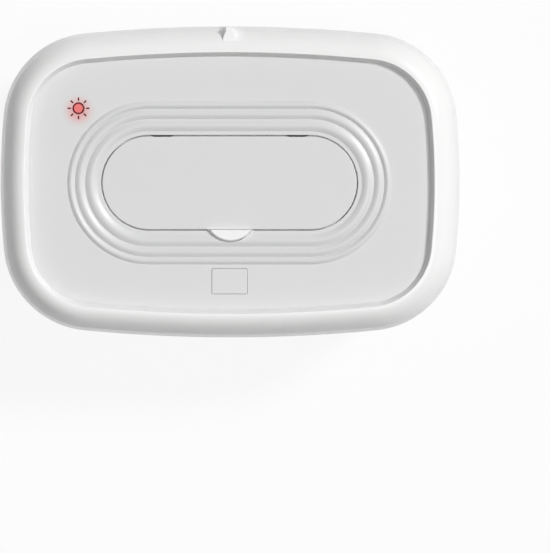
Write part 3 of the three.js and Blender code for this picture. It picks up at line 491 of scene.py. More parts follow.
# Feet
# Four soft dark rubber discs, pressed into round recesses under the base.
# Their treads are rounded, so that they don't mark the table.
dark_rubber = moulded(
    "dark_rubber", (0.1, 0.1, 0.11), 0.75, drift=0.2, grain=2600.0, depth=0.00006, strength=0.5
)
foot_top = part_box("foot_1")[1][2]
tread_round = 0.0012
for name in feet:
    sole = [(foot_radius - u, v) for u, v in quarter_round(0, 0, tread_round)]
    sole.append((foot_radius, foot_top))
    piece = make(name + "_pad", rod("z", sole, *centre(name), 64))
    stand_in(piece, "base", "dark_rubber", dark_rubber, name)

# Wipes tub
# A thin satin liner that holds the stack of wipes, moulded with round inside corners.
# Its flange lies on the ledge of the base, and four bosses below take the base screws.
white_satin = moulded("white_satin", (0.8, 0.8, 0.79), 0.42, drift=0.04, grain=2200.0)
crisp = 0.0003
soft = 0.0005
tub_wall = 0.0018
tub_top_inset = 0.016
tub_floor_inset = 0.020
tub_floor_radius = 0.006
tub_flange = 0.0017
tub_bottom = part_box("wipes_tub")[0][2]
tub_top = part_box("wipes_tub")[1][2]
flange_edge = rim_inset + rim_width + seat_gap
tub_floor = 0.0138
tub_outer = quarter_round(tub_floor_inset - tub_wall, tub_floor - tub_wall, tub_floor_radius + tub_wall)
tub_inner = quarter_round(tub_floor_inset, tub_floor, tub_floor_radius)
tub_profile = [(u, v, 0) for u, v in tub_outer]
tub_profile += [
    (tub_top_inset - tub_wall, tub_top - tub_flange, 0.001),
    (flange_edge, tub_top - tub_flange, crisp),
    (flange_edge, tub_top, soft),
    (tub_top_inset, tub_top, 0.0012),
]
tub_profile += [(u, v, 0) for u, v in tub_inner[::-1]]
tub = make("tub_liner", bowed_skin(tub_profile))
for x in hinge_places:
    for half, front in (
        (knuckle_half + niche_wall + 2 * seat_gap, niche_front - niche_wall - seat_gap),
        (knuckle_half + ear_width + 2 * seat_gap, hinge_y - knuckle_radius - seat_gap),
    ):
        cut(tub, block(
            (x - half, front, tub_top - tub_flange - overrun),
            (x + half, half_width, base_rim + overrun),
        ))
boss_radius = 0.0036
boss_bore = 0.0014
join(tub, *uprights(base_screws, boss_radius, tub_bottom, tub_floor - tub_wall / 2, 32))
bore_top = tub_floor - tub_wall - seat_gap
cut(tub, *uprights(base_screws, boss_bore, tub_bottom - overrun, bore_top))
stand_in(tub, "base", "white_satin", white_satin, "wipes_tub")

# Base screws and hinge pins
# Zinc-plated steel: pan-head screws with a cross recess hold the tub to the shell.
# Two short ground pins carry the main lid.
brushed, taken, given = new_group(
    "brushed", ("Colour", "Gloss", "Line Scale"), ("Colour", "Roughness", "Height")
)
tree = brushed
stretch = new_node(tree, "Mapping", {"Vector": on_piece(tree), "Scale": (0.05, 1, 1)})
lines = speckle(tree, stretch.outputs["Vector"], taken["Line Scale"], 4.0)
value = spread_out(tree, lines, 0.85, 1.1)
tint = new_node(tree, "HueSaturation", {"Color": taken["Colour"], "Value": value})
blur = number(tree, "MULTIPLY", number(tree, "SUBTRACT", lines, 0.5), 0.25)
supply(tree, given, {
    "Colour": tint.outputs["Color"],
    "Roughness": number(tree, "ADD", blur, taken["Gloss"]),
    "Height": lines,
})


def metal(name, colour, gloss, line_scale):
    """A metal with fine drawn or rolled lines."""
    return skinned(name, brushed, {
        "Colour": (*colour, 1),
        "Gloss": gloss,
        "Line Scale": line_scale,
    }, 0.15, 0.00002, metallic=1.0)


steel = metal("zinc_steel", (0.55, 0.56, 0.58), 0.3, 4000.0)
head_height = 0.0016
head_round = 0.0009
shank_radius = 0.0011
thread_pitch = 0.0009
thread_depth = 0.0002
main_pin_radius = 0.0012
slot_half = 0.00035
slot_reach = 0.002
slot_depth = 0.0008


def fit_screw(node, body):
    """A pan-head screw with a cross recess, in the place of its node."""
    low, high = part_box(node)
    x, y = centre(node)
    bottom = low[2]
    under = bottom + head_height
    profile = [(screw_head - u, v) for u, v in quarter_round(0, bottom, head_round, 6)]
    profile += [(screw_head, under), (shank_radius, under)]
    z = under + thread_pitch
    while z < high[2] - thread_pitch:
        profile += [(shank_radius, z), (shank_radius - thread_depth, z + thread_pitch / 2)]
        z += thread_pitch
    profile += [(shank_radius - thread_depth / 2, high[2] - crisp), (shank_radius / 3, high[2])]
    piece = make(node + "_steel", rod("z", profile, x, y, 32))
    for half_x, half_y in ((slot_reach, slot_half), (slot_half, slot_reach)):
        cut(piece, block(
            (x - half_x, y - half_y, bottom - overrun),
            (x + half_x, y + half_y, bottom + slot_depth),
        ))
    stand_in(piece, body, "steel", steel, node)


def fit_pin(node, body, radius):
    """A plain pin along X with broken ends, in the place of its node."""
    low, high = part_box(node)
    y, z = (low[1] + high[1]) / 2, (low[2] + high[2]) / 2
    piece = make(node + "_steel", pin(radius, low[0], high[0], radius / 4, y, z, 32))
    stand_in(piece, body, "steel", steel, node)


for name in base_screws:
    fit_screw(name, "base")
for name in ("main_hinge_pin_1", "main_hinge_pin_2"):
    fit_pin(name, "base", main_pin_radius)

# Lid underside and its seal
# The satin plate closes the lid from below, with a long window under the heater plate.
# A silicone ring round its plug rim seals on the tub's flange.
fillet = 0.0004
flip_radius = 0.0245
flip_straight = 0.0424
under_bottom = 0.0945
under_wall = 0.0022
under_inset = 0.005
window_radius = 0.036
plug_inset = 0.0175
plug_width = 0.002
plug_round = 0.0006
plug_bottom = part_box("lid_underside")[0][2]


def stadium(radius, z, straight=flip_straight, steps=32):
    """Straight sides with round ends, counter-clockwise from the lower right."""
    ring = []
    side_steps = 12
    for side in (1, -1):
        for turn in sweep(-pi / 2, pi / 2, steps):
            ring.append((side * (straight + radius * cos(turn)), side * radius * sin(turn), z))
        for i in range(1, side_steps):
            ring.append((side * straight * (1 - 2 * i / side_steps), side * radius, z))
    return ring


def inset_at(x, y):
    """How far a point lies inside the bowed outline."""
    x, y = abs(x), abs(y)
    turn = atan2(y - corner_y, x - corner_x)
    if short_turn < turn < long_turn:
        return corner_radius - hypot(x - corner_x, y - corner_y)
    return min(short_bow - hypot(x - short_x, y), long_bow - hypot(x, y - long_y))


def bowed_beside(inset, z):
    """The bowed outline with one point for each point of a stadium ring, straight out from it."""
    inner = stadium(flip_radius, z)
    outer = stadium(2 * flip_radius, z)
    ring = []
    for near, far in zip(inner, outer):
        way = ((far[0] - near[0]) / flip_radius, (far[1] - near[1]) / flip_radius)
        low, high = 0, half_length
        for _ in range(40):
            middle = (low + high) / 2
            if inset_at(near[0] + way[0] * middle, near[1] + way[1] * middle) > inset:
                low = middle
            else:
                high = middle
        ring.append((near[0] + way[0] * low, near[1] + way[1] * low, z))
    return ring


under_top = under_bottom + under_wall
underside = make("underside_plate", loft([
    stadium(window_radius, under_top),
    stadium(window_radius, under_bottom + fillet),
    stadium(window_radius + fillet, under_bottom),
    bowed_beside(under_inset + crisp, under_bottom),
    bowed_beside(under_inset, under_bottom + crisp),
    bowed_beside(under_inset, under_top),
], closed=True))
join(underside, bowed_skin([
    (plug_inset, plug_bottom, plug_round),
    (plug_inset, under_bottom + under_wall / 2, 0),
    (plug_inset + plug_width, under_bottom + under_wall / 2, 0),
    (plug_inset + plug_width, plug_bottom, plug_round),
], closed=True))
lid_screws = [f"lid_screw_{i}" for i in range(1, 7)]
cut(underside, *uprights(lid_screws, boss_bore, under_bottom - overrun, under_top + overrun))
lamp_x, lamp_y = centre("indicator_led")
board_post_x = 0.024
board_post_radius = 0.0026
lamp_post_x = 0.005
lamp_post_radius = 0.0017
post_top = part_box("control_board")[0][2] - seat_gap
posts = [(side * board_post_x, centre("control_board")[1], board_post_radius) for side in (-1, 1)]
posts += [(lamp_x + side * lamp_post_x, lamp_y, lamp_post_radius) for side in (-1, 1)]
join(underside, *[
    bar("z", radius, under_top - under_wall / 2, post_top, x, y)
    for x, y, radius in posts
])
stand_in(underside, "main_lid", "white_satin", white_satin, "lid_underside")

silicone = moulded("silicone", (0.62, 0.62, 0.62), 0.6, drift=0.05, gloss_drift=0.1, grain=3200.0)
tree = silicone.node_tree
supply(tree, tree.nodes["Principled BSDF"], {
    "Subsurface Weight": 0.2,
    "Subsurface Scale": 0.002,
})
seal_low, seal_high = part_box("lid_seal")
seal_inset = 0.0134
seal_width = 0.002
lid_seal = make("lid_seal_ring", bowed_skin([
    (seal_inset, seal_low[2] + fillet, fillet),
    (seal_inset, seal_high[2], crisp),
    (seal_inset + seal_width, seal_high[2], crisp),
    (seal_inset + seal_width, seal_low[2] + fillet, fillet),
    (seal_inset + seal_width / 2, seal_low[2], soft),
], closed=True))
stand_in(lid_seal, "main_lid", "silicone", silicone, "lid_seal")

# Heater stack
# A rolled aluminium plate in the window warms the wipes from above. On its back lie the
# heating film, a felted pad, the thermostat and the thermal fuse.
aluminium = metal("rolled_aluminium", (0.62, 0.63, 0.64), 0.38, 2500.0)
plate_low, plate_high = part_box("heater_plate")
heater_radius = 0.042
heater_bore = 0.0142


def stadium_ring(corners):
    """A closed ring of stadiums from rounded (radius, height, fillet) corners."""
    return loft([stadium(u, v) for u, v in rounded(corners, closed=True)], closed=True)


heater = make("heater_sheet", stadium_ring([
    (heater_radius, plate_low[2], crisp),
    (heater_radius, plate_high[2], crisp),
    (heater_bore, plate_high[2], crisp),
    (heater_bore, plate_low[2], crisp),
]))
stand_in(heater, "main_lid", "aluminium", aluminium, "heater_plate")


def two_tone(tree, mask, first, second, start=0.0, end=1.0):
    """A colour that goes from one to another as the mask rises."""
    node = new_node(tree, "ValToRGB", {"Fac": mask})
    for element, place, colour in zip(node.color_ramp.elements, (start, end), (first, second)):
        element.position = place
        element.color = (*colour, 1)
    return node.outputs["Color"]


film, tree, shader = finish("heater_film")
bands = new_node(tree, "TexWave", {"Vector": on_piece(tree), "Scale": 90.0, "Distortion": 0.4})
supply(tree, shader, {
    "Base Color": two_tone(tree, bands.outputs["Fac"], (0.42, 0.13, 0.03), (0.62, 0.3, 0.1), 0.45, 0.55),
    "Roughness": spread_out(tree, bands.outputs["Fac"], 0.5, 0.3),
})
dress(film, "heating_film")

felt, tree, shader = finish("felt")
fibres = speckle(tree, on_piece(tree), 900.0, 8.0)
supply(tree, shader, {
    "Base Color": two_tone(tree, fibres, (0.6, 0.55, 0.44), (0.86, 0.83, 0.74)),
    "Roughness": 0.95,
})
relieve(tree, shader, fibres, 0.8, 0.0003)
dress(felt, "insulation_pad")

black_plastic = moulded("black_plastic", (0.025, 0.025, 0.027), 0.4, drift=0.3, grain=3000.0)
dress(black_plastic, "thermostat", "power_switch")
dress(steel, "thermal_fuse")

# Control board, indicator and springs
# Two lacquered boards stand on posts inside the lid. The red lamp shines through a frosted
# pipe under the panel, and two coil springs lift the button and the key.
lacquer, tree, shader = finish("board_lacquer")
where = on_piece(tree)
cells = new_node(tree, "TexBrick", {
    "Vector": where,
    "Scale": 260.0,
    "Color1": (0.015, 0.13, 0.04, 1),
    "Color2": (0.02, 0.17, 0.06, 1),
    "Mortar": (0.05, 0.26, 0.1, 1),
})
supply(tree, shader, {
    "Base Color": cells.outputs["Color"],
    "Roughness": spread_out(tree, speckle(tree, where, 500.0), 0.2, 0.4),
})
dress(lacquer, "control_board", "indicator_board")
red_lens = moulded("red_lens", (0.6, 0.03, 0.03), 0.15, drift=0.1)
frosted = moulded("frosted_pipe", (0.85, 0.6, 0.6), 0.45, drift=0.05)
dress(red_lens, "indicator_led")
dress(frosted, "light_pipe")


def spring(node, wire, turns):
    """A round coil on an upright axis that fills the height of its node's box."""
    low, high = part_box(node)
    x, y = centre(node)
    mean_radius = (high[0] - low[0]) / 2 - wire
    steps = 24 * turns
    rings = []
    for step in range(steps + 1):
        angle = 2 * pi * turns * step / steps
        z = low[2] + wire + (high[2] - low[2] - 2 * wire) * step / steps
        ring = []
        for side in range(8):
            around = 2 * pi * side / 8
            reach = mean_radius + wire * cos(around)
            ring.append((x + reach * cos(angle), y + reach * sin(angle), z - wire * sin(around)))
        rings.append(ring)
    piece = make(node + "_coil", loft(rings))
    stand_in(piece, "main_lid", "steel", steel, node, angle=50)
    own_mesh(piece)


spring("release_spring", 0.00035, 4)
spring("power_key_spring", 0.0003, 3)
dress(steel, "flip_spring_1", "flip_spring_2")

# Power inlet
# A socket of black moulded plastic with a centre pin, for the plug of a power supply.
# It is held behind the boss at the rear of the lid, and its mouth lies in the boss's hole.
jack_low, jack_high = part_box("inlet_jack")
inlet_z = (jack_low[2] + jack_high[2]) / 2
jack_mouth = jack_high[1]
jack_length = 0.012
jack_back = jack_low[1] + jack_length
nose_radius = 0.00295
jack_bore = 0.0025
jack_depth = 0.009
tip_radius = 0.0008
tip_set_back = 0.001
jack = make("inlet_socket", block(jack_low, (jack_high[0], jack_back, jack_high[2])))
soften(jack, soft)
nose = [(nose_radius, jack_back - overrun), (nose_radius, jack_mouth - crisp)]
nose.append((nose_radius - crisp, jack_mouth))
join(jack, rod("y", nose, 0, inlet_z))
cut(jack, bar("y", jack_bore, jack_mouth - jack_depth, jack_mouth + overrun, 0, inlet_z, 48))
centre_pin = [
    (tip_radius, jack_mouth - jack_depth - overrun),
    (tip_radius, jack_mouth - tip_set_back - fillet),
    (tip_radius - crisp, jack_mouth - tip_set_back),
]
join(jack, rod("y", centre_pin, 0, inlet_z, 24))
stand_in(jack, "main_lid", "black_plastic", black_plastic, "inlet_jack")

# Dispenser well with its lip and seal
# A satin funnel under the flip lid: a ledge below the lid's edge, a floor and a chimney.
# The soft lip grips the next wipe, and the seal ring meets the flip lid's skirt.
panel_top = crest - 0.005
flip_gap = 0.00055
well_low, well_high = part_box("dispenser_well")
well_ledge = 0.002
well_inset = 0.0013
well_outer = flip_radius + flip_gap + well_ledge
well_inner = flip_radius - well_inset
well_wall = 0.002
well_floor = panel_top - 0.011
well_base = 0.002
mouth_radius = 0.0115
well_round = 0.0015
chimney_wall = 0.002
well_flange = 0.0016
flip_y = frame["joints"][1]["pos_m"][1]
flip_z = frame["joints"][1]["pos_m"][2]
arm_places = (-0.0353, 0.0353)
arm_inner = 0.0073
arm_thickness = 0.0018
hinge_slot_half = 0.0058
button_chord = 0.024
flange_reach = 0.0015
pocket_half = 0.012
pocket_reach = 0.0107
well = make("well_funnel", stadium_ring([
    (well_inner + well_wall, well_floor - well_base, well_round),
    (well_inner + well_wall, well_high[2] - well_flange, soft),
    (well_outer, well_high[2] - well_flange, crisp),
    (well_outer, well_high[2], crisp),
    (well_inner, well_high[2], fillet),
    (well_inner, well_floor, well_round),
    (mouth_radius, well_floor, 0.0006),
    (mouth_radius, well_low[2], fillet),
    (mouth_radius + chimney_wall, well_low[2], fillet),
    (mouth_radius + chimney_wall, well_floor - well_base, soft),
]))
arm_reach = arm_inner + arm_thickness + niche_gap
join(well, block(
    (-pocket_half, -well_inner - pocket_reach, well_floor - well_base),
    (pocket_half, -well_inner - well_wall / 2, well_floor),
))
cut(well, *[
    block(
        (x - hinge_slot_half, flip_y - arm_reach, flip_z - arm_reach),
        (x + hinge_slot_half, well_outer + overrun, well_high[2] + overrun),
    )
    for x in arm_places
])
notch_half = button_chord / 2 + flange_reach + niche_gap
cut(well, block(
    (-notch_half, -well_outer - overrun, well_floor),
    (notch_half, -well_inner + overrun, well_high[2] + overrun),
))
stand_in(well, "main_lid", "white_satin", white_satin, "dispenser_well")

lip_low, lip_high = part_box("dispensing_lip")
lip_outer = 0.0132
lip_inner = 0.0075
lip = make("lip_ring", stadium_ring([
    (lip_outer, lip_low[2], crisp),
    (lip_outer, lip_high[2], fillet),
    (lip_inner, lip_high[2] - crisp, crisp),
    (lip_inner, lip_low[2], 0.0002),
]))
stand_in(lip, "main_lid", "silicone", silicone, "dispensing_lip")

flip_seal_low, flip_seal_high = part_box("flip_lid_seal")
flip_seal_outer = 0.0172
flip_seal_inner = 0.0137
flip_seal_taper = 0.0008
shoulder = flip_seal_low[2] + 0.0011
flip_seal = make("flip_seal_ring", stadium_ring([
    (flip_seal_outer, flip_seal_low[2], crisp),
    (flip_seal_outer, shoulder, soft),
    (flip_seal_outer - flip_seal_taper, flip_seal_high[2], fillet),
    (flip_seal_inner + flip_seal_taper, flip_seal_high[2], fillet),
    (flip_seal_inner, shoulder, soft),
    (flip_seal_inner, flip_seal_low[2], crisp),
]))
stand_in(flip_seal, "main_lid", "silicone", silicone, "flip_lid_seal")

# Top panel
# A satin light grey moulding with three ripples round the flip lid. Over the indicator the lamp's glow is
# painted into the panel: a red spot with a faint red emission, inside a printed sun, in a pink halo.
panel_bottom = panel_top - 0.0023
panel_edge_inset = 0.010
ripple_start = flip_radius + 0.0026
ripple_widths = (0.0064, 0.0054, 0.004)
ripple_height = 0.001
opening_edge = 0.0003
button_gap = 0.00005
button_bulge = 0.0067
button_radius = (button_chord**2 / 4 + button_bulge**2) / (2 * button_bulge)
button_centre_y = -flip_radius - button_bulge + button_radius
button_chord_y = -flip_radius - button_gap
key_half_x = 0.0093
key_half_y = 0.00665
key_corner = 0.0009
key_gap = 0.00015
key_x, key_y = centre("power_key")


def half_moon(radius, chord_y, z, steps=40):
    """The button's outline: an arc closed by a straight chord."""
    reach = acos((button_centre_y - chord_y) / radius)
    turns = [-pi / 2 - reach + 2 * reach * i / steps for i in range(steps + 1)]
    return [(radius * cos(t), button_centre_y + radius * sin(t), z) for t in turns]


def oblong(half_x, half_y, radius, z, x=0, y=0, steps=6):
    """A rectangle with round corners, counter-clockwise."""
    ring = []
    for side_x, side_y, start in ((1, 1, 0), (-1, 1, pi / 2), (-1, -1, pi), (1, -1, 3 * pi / 2)):
        for i in range(steps + 1):
            turn = start + pi / 2 * i / steps
            ring.append((
                x + side_x * (half_x - radius) + radius * cos(turn),
                y + side_y * (half_y - radius) + radius * sin(turn),
                z,
            ))
    return ring


def key_outline(reach, z):
    """The key's outline, moved outwards."""
    return oblong(key_half_x + reach, key_half_y + reach, key_corner + reach, z, key_x, key_y)


opening = flip_radius + flip_gap
panel_profile = [
    (opening, panel_bottom),
    (opening, panel_top - opening_edge),
    (opening + opening_edge / 3, panel_top - opening_edge / 3),
    (opening + opening_edge, panel_top),
]
edge = ripple_start
ridge_steps = 12
for ridge in ripple_widths:
    for share in sweep(0, 1, ridge_steps)[:-1]:
        panel_profile.append((edge + ridge * share, panel_top + ripple_height * sin(pi * share)))
    edge += ridge
panel_profile.append((edge, panel_top))
panel_rings = [stadium(u, v) for u, v in panel_profile]
panel_rings += [bowed_beside(panel_edge_inset, z) for z in (panel_top, panel_bottom)]
panel = make("panel_moulding", loft(panel_rings, closed=True))
cut_low = panel_bottom - overrun
cut_high = panel_top + ripple_height + overrun
moon_hole = button_radius + button_gap
cut(panel, loft([half_moon(moon_hole, -flip_radius, z) for z in (cut_low, cut_high)]))
cut(panel, loft([key_outline(key_gap, z) for z in (cut_low, cut_high)]))
soften(panel, 0.0001, 80)
joint_z = (panel_bottom + panel_top) / 2
join(panel, *uprights(lid_screws, boss_radius, under_top + seat_gap, joint_z))
cut(panel, *[
    bar("z", boss_bore, under_top - overrun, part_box(n)[1][2] + overrun, *centre(n))
    for n in lid_screws
])
ear_half = 0.002
ear_sides = (0.0062, 0.0082)
for x in arm_places:
    for side in (-1, 1):
        near, far = sorted(x + side * place for place in ear_sides)
        join(panel, block(
            (near, flip_y - ear_half, flip_z),
            (far, flip_y + ear_half, joint_z),
        ))
        join(panel, bar("x", ear_half, near, far, flip_y, flip_z, 32))

grey = (0.685, 0.685, 0.687)
grey_satin = moulded("grey_satin", grey, 0.37, 0.02, 0.06, 2600.0, depth=0.00003, strength=0.25)

# Painted glow: a copy of the panel's material carries the indicator lamp's light, painted into its colour
# and emission.
painted_glow_panel = grey_satin.copy()
painted_glow_panel.name = "grey_satin_painted_glow"
tree = painted_glow_panel.node_tree
shader = tree.nodes["Principled BSDF"]
skin = next(node for node in tree.nodes if node.type == "GROUP")
glow_spot_radius = 0.0024
halo_radius = 0.0105
halo_low = 0.0012
halo_weight = 0.72
sun_x = lamp_x + 0.00025
sun_y = lamp_y - 0.00025
where = on_piece(tree)


def fade(tree, y, start, end):
    """1 within the start radius of a point below the sun, falling softly to 0 at the end radius."""
    away = tree.nodes.new("ShaderNodeVectorMath")
    away.operation = "DISTANCE"
    supply(tree, away, {0: where, 1: (sun_x, y, panel_top)})
    node = new_node(tree, "MapRange", {"Value": away.outputs["Value"], "From Min": end, "From Max": start})
    node.interpolation_type = "SMOOTHERSTEP"
    return node.outputs[0]


def tinted(tree, mask, under, over):
    """Mixes an over colour on an under colour by a mask."""
    node = tree.nodes.new("ShaderNodeMix")
    node.data_type = "RGBA"
    supply(tree, node, {0: mask, 6: under, 7: over})
    return node.outputs[2]


# Painted glow: a red spot that emits faintly, and a pink halo mixed into the panel's colour around it.
lens = fade(tree, sun_y, glow_spot_radius * 0.9, glow_spot_radius * 1.05)
painted_halo = number(tree, "MULTIPLY", fade(tree, sun_y - halo_low, 0, halo_radius), halo_weight)
painted_halo_colour = tinted(tree, painted_halo, skin.outputs["Colour"], (0.77, 0.22, 0.22, 1))
supply(tree, shader, {
    "Base Color": tinted(tree, lens, painted_halo_colour, (0.7, 0.12, 0.12, 1)),
    "Emission Color": tinted(tree, lens, (0, 0, 0, 1), (0.1, 0.02, 0.02, 1)),
    "Emission Strength": 1.0,
})
stand_in(panel, "main_lid", "grey_satin", painted_glow_panel, "top_panel", angle=25)

# Printed sun
# Dark red ink, pad-printed on the panel round the indicator: a ring and eight short rays.
# It is a few hundredths of a millimetre thick and turns with the main lid.
ink = moulded("dark_red_ink", (0.13, 0.008, 0.009), 0.5, drift=0.25, grain=4000.0, specular=0.2)
ink_bottom = panel_top + 0.00001
ink_top = panel_top + 0.00005
ring_outer = 0.0032
ring_line = 0.0009
ray_start = 0.0039
ray_end = 0.0058
ray_half = 0.00042


def circle(radius, z, steps=64):
    """A circle round the sun's middle."""
    turns = sweep(0, 2 * pi, steps)[:-1]
    return [(sun_x + radius * cos(t), sun_y + radius * sin(t), z) for t in turns]


printed = [loft([
    circle(ring_outer, ink_bottom),
    circle(ring_outer, ink_top),
    circle(ring_outer - ring_line, ink_top),
    circle(ring_outer - ring_line, ink_bottom),
], closed=True)]
ray_middle = (ray_start + ray_end) / 2
for turn in sweep(0, 2 * pi, 8)[:-1]:
    rings = []
    for z in (ink_bottom, ink_top):
        ray = oblong(ray_end - ray_middle, ray_half, ray_half * 0.9, z, ray_middle)
        rings.append([
            (sun_x + x * cos(turn) - y * sin(turn), sun_y + x * sin(turn) + y * cos(turn), z)
            for x, y, z in ray
        ])
    printed.append(loft(rings))
sun = make("printed_sun", *printed)
sun.data.materials.append(ink)
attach(sun, "main_lid")

# Flip lid
# A flush stadium-shaped plate in the panel's grey, with a sealing skirt and a catch tongue
# below. Two curved arms reach under the panel's edge to the hinge pins, and two shallow
# notches in the plate's rear edge lie over them.
flip_thickness = 0.0022
flip_bottom = panel_top - flip_thickness
flip_chamfer = 0.0014
flip_edge = 0.0004
hub_radius = 0.0018
pin_bore = 0.00115
flip_pin_radius = 0.0009
arm_half = 0.003
arm_notch_half = 0.005
arm_notch_depth = 0.0003
arm_turns = (radians(160), radians(285))
skirt_radius = 0.0146
skirt_wall = 0.0016
catch_half = 0.004
catch_wall = 0.0014
catch_length = 0.005
catch_barb = 0.0007
plate_profile = rounded([
    (flip_radius - flip_chamfer, flip_bottom, 0),
    (flip_radius, flip_bottom + flip_chamfer, crisp),
    (flip_radius, panel_top, flip_edge),
    (flip_radius - 0.002, panel_top, 0),
])
flip = make("flip_plate", loft([stadium(u, v) for u, v in plate_profile]))
cut(flip, *[
    block(
        (x - arm_notch_half, flip_radius - arm_notch_depth, flip_bottom - overrun),
        (x + arm_notch_half, flip_radius + overrun, panel_top + overrun),
    )
    for x in arm_places
])
joint_z = flip_bottom + flip_thickness / 4
join(flip, stadium_ring([
    (skirt_radius + skirt_wall, flip_seal_high[2] + seat_gap, soft),
    (skirt_radius + skirt_wall, joint_z, 0),
    (skirt_radius, joint_z, 0),
    (skirt_radius, flip_seal_high[2] + seat_gap, soft),
]))
arm_steps = 28
arm_outer = arm_inner + arm_thickness
side_half = arm_thickness / 2
way = (cos(arm_turns[1]), sin(arm_turns[1]))
for x in arm_places:
    join(flip, loft([[
        (x + side * arm_half, flip_y + radius * cos(turn), flip_z + radius * sin(turn))
        for side, radius in ((-1, arm_inner), (-1, arm_outer), (1, arm_outer), (1, arm_inner))
    ] for turn in sweep(*arm_turns, arm_steps)]))
    join(flip, loft([[
        (
            x + side * arm_half,
            flip_y + way[0] * reach - way[1] * up * side_half,
            flip_z + way[1] * reach + way[0] * up * side_half,
        )
        for side, up in ((-1, -1), (1, -1), (1, 1), (-1, 1))
    ] for reach in (0, arm_inner + side_half)]))
    join(flip, bar("x", hub_radius, x - arm_half, x + arm_half, flip_y, flip_z, 32))
    bore_half = arm_half + overrun
    cut(flip, bar("x", pin_bore, x - bore_half, x + bore_half, flip_y, flip_z))
catch_front = -flip_radius + catch_barb + seat_gap
tongue_bottom = flip_bottom - catch_length
join(flip, block(
    (-catch_half, catch_front, tongue_bottom),
    (catch_half, catch_front + catch_wall, joint_z),
))
join(flip, block(
    (-catch_half, catch_front - catch_barb, tongue_bottom),
    (catch_half, catch_front + catch_wall / 2, tongue_bottom + catch_wall),
))
stand_in(flip, "flip_lid", "grey_satin", grey_satin, "flip_lid")
for name in ("flip_hinge_pin_1", "flip_hinge_pin_2"):
    fit_pin(name, "main_lid", flip_pin_radius)

# Release button
# A glossy white half-moon at the front of the flip lid, drafted all round its curved side.
# Its face lies a little to the right of its foot. A flange holds it under the panel, and its
# hook lets go of the lid's tongue.
button_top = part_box("release_button")[1][2]
button_draft = 0.0011
button_edge = 0.0004
button_lean = 0.0006
flange_top = panel_bottom - seat_gap
flange_thickness = 0.0016
flange_bottom = flange_top - flange_thickness
button_root = flange_bottom + flange_thickness / 2
button_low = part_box("release_button")[0][2]
cap = rounded([
    (button_radius, button_root, 0),
    (button_radius, panel_top, fillet),
    (button_radius - button_draft, button_top, button_edge),
    (button_radius - button_draft - 0.002, button_top, 0),
])
cap_rings = []
for radius, z in cap:
    back = max(0, z - (button_top - button_edge))
    lean = button_lean * max(0, z - panel_top) / (button_top - panel_top)
    ring = half_moon(radius, button_chord_y - back / 2, z)
    cap_rings.append([(x + lean, y, z) for x, y, z in ring])
button = make("button_cap", loft(cap_rings[:-1]))
join(button, loft([
    half_moon(button_radius + flange_reach, button_chord_y, z) for z in (flange_bottom, flange_top)
]))
join(button, block(
    (-catch_half, button_chord_y - catch_wall, button_low),
    (catch_half, button_chord_y, button_root),
))
join(button, block(
    (-catch_half, button_chord_y - catch_wall, button_low),
    (catch_half, -flip_radius, button_low + catch_barb),
))
stand_in(button, "release_button", "white_gloss", white_gloss, "release_button")

# Power key
# A plain satin moulding in the panel's grey, flush with it, that presses the power switch.
# A flange holds it under the panel, and its stem ends over the switch.
key_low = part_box("power_key")[0]
key_flange = 0.0014
key_reach = 0.0016
key_stem = 0.0018
key_root = key_flange / 2
key_profile = rounded([
    (0, flange_top - key_root, 0),
    (0, panel_top, 0.0002),
    (-0.001, panel_top, 0),
], steps=3)
key = make("key_cap", loft([
    oblong(key_half_x + u, key_half_y + u, key_corner, v, key_x, key_y) for u, v in key_profile
]))
join(key, loft([
    key_outline(key_reach, z) for z in (flange_top - key_flange, flange_top)
]))
join(key, bar("z", key_stem, key_low[2], flange_top - key_root, key_x, key_y, 32))
stand_in(key, "power_key", "grey_satin", grey_satin, "power_key")

# Rim cover
# The glossy white frame of the lid: a convex moulded ring that laps over the panel's edge.
# It ends in the hinge knuckles and, at the rear, in the boss over the power inlet.
belt = crest - 0.026
lid_bottom = crest - 0.0275
cover_wall = 0.0022
crest_inset = 0.0132
crest_round = 0.0134
crest_drop = 0.0001
recess_inset = 0.0155
lip_width = 0.0024
skirt_inset = 0.0025
rib_inset = 0.007
rib_bottom = under_top + seat_gap
rib_top = rib_bottom + 0.0019
arch_steps = 26
edge_inset = 0.0021
edge_z = belt + 0.0155
crown_power = 2.4
arch = [(0, belt, 0.003), (edge_inset, edge_z, 0.0006)]
for share in sweep(0, 1, arch_steps)[2:]:
    arch.append((
        edge_inset + (crest_inset - edge_inset) * share,
        crest - (crest - edge_z) * (1 - share) ** crown_power,
        0,
    ))
skirt_steps = 8
skirt = []
for turn in sweep(0, pi / 2, skirt_steps)[:-1]:
    skirt.append((skirt_inset * (1 - sin(turn)), belt - (belt - lid_bottom) * cos(turn), 0))
rise = crest - belt - cover_wall
arch_start = asin((rib_top - belt) / rise)
inner_arch = []
for turn in sweep(arch_start, pi / 2, arch_steps):
    inset = cover_wall + (crest_inset - cover_wall) * (1 - cos(turn))
    inner_arch.append((inset, belt + rise * sin(turn), 0))
lip_z = panel_top + seat_gap
cover_profile = skirt + arch + [
    (crest_round, crest - crest_drop, 0.0002),
    (recess_inset, lip_z, 0.0002),
    (recess_inset - lip_width, lip_z, 0),
]
cover_profile += inner_arch[::-1] + [
    (rib_inset, rib_top, 0),
    (rib_inset, rib_bottom, 0),
    (skirt_inset + cover_wall, rib_bottom, 0),
    (skirt_inset + cover_wall, lid_bottom, 0),
]
cover = make("rim_frame", bowed_skin(cover_profile, closed=True))

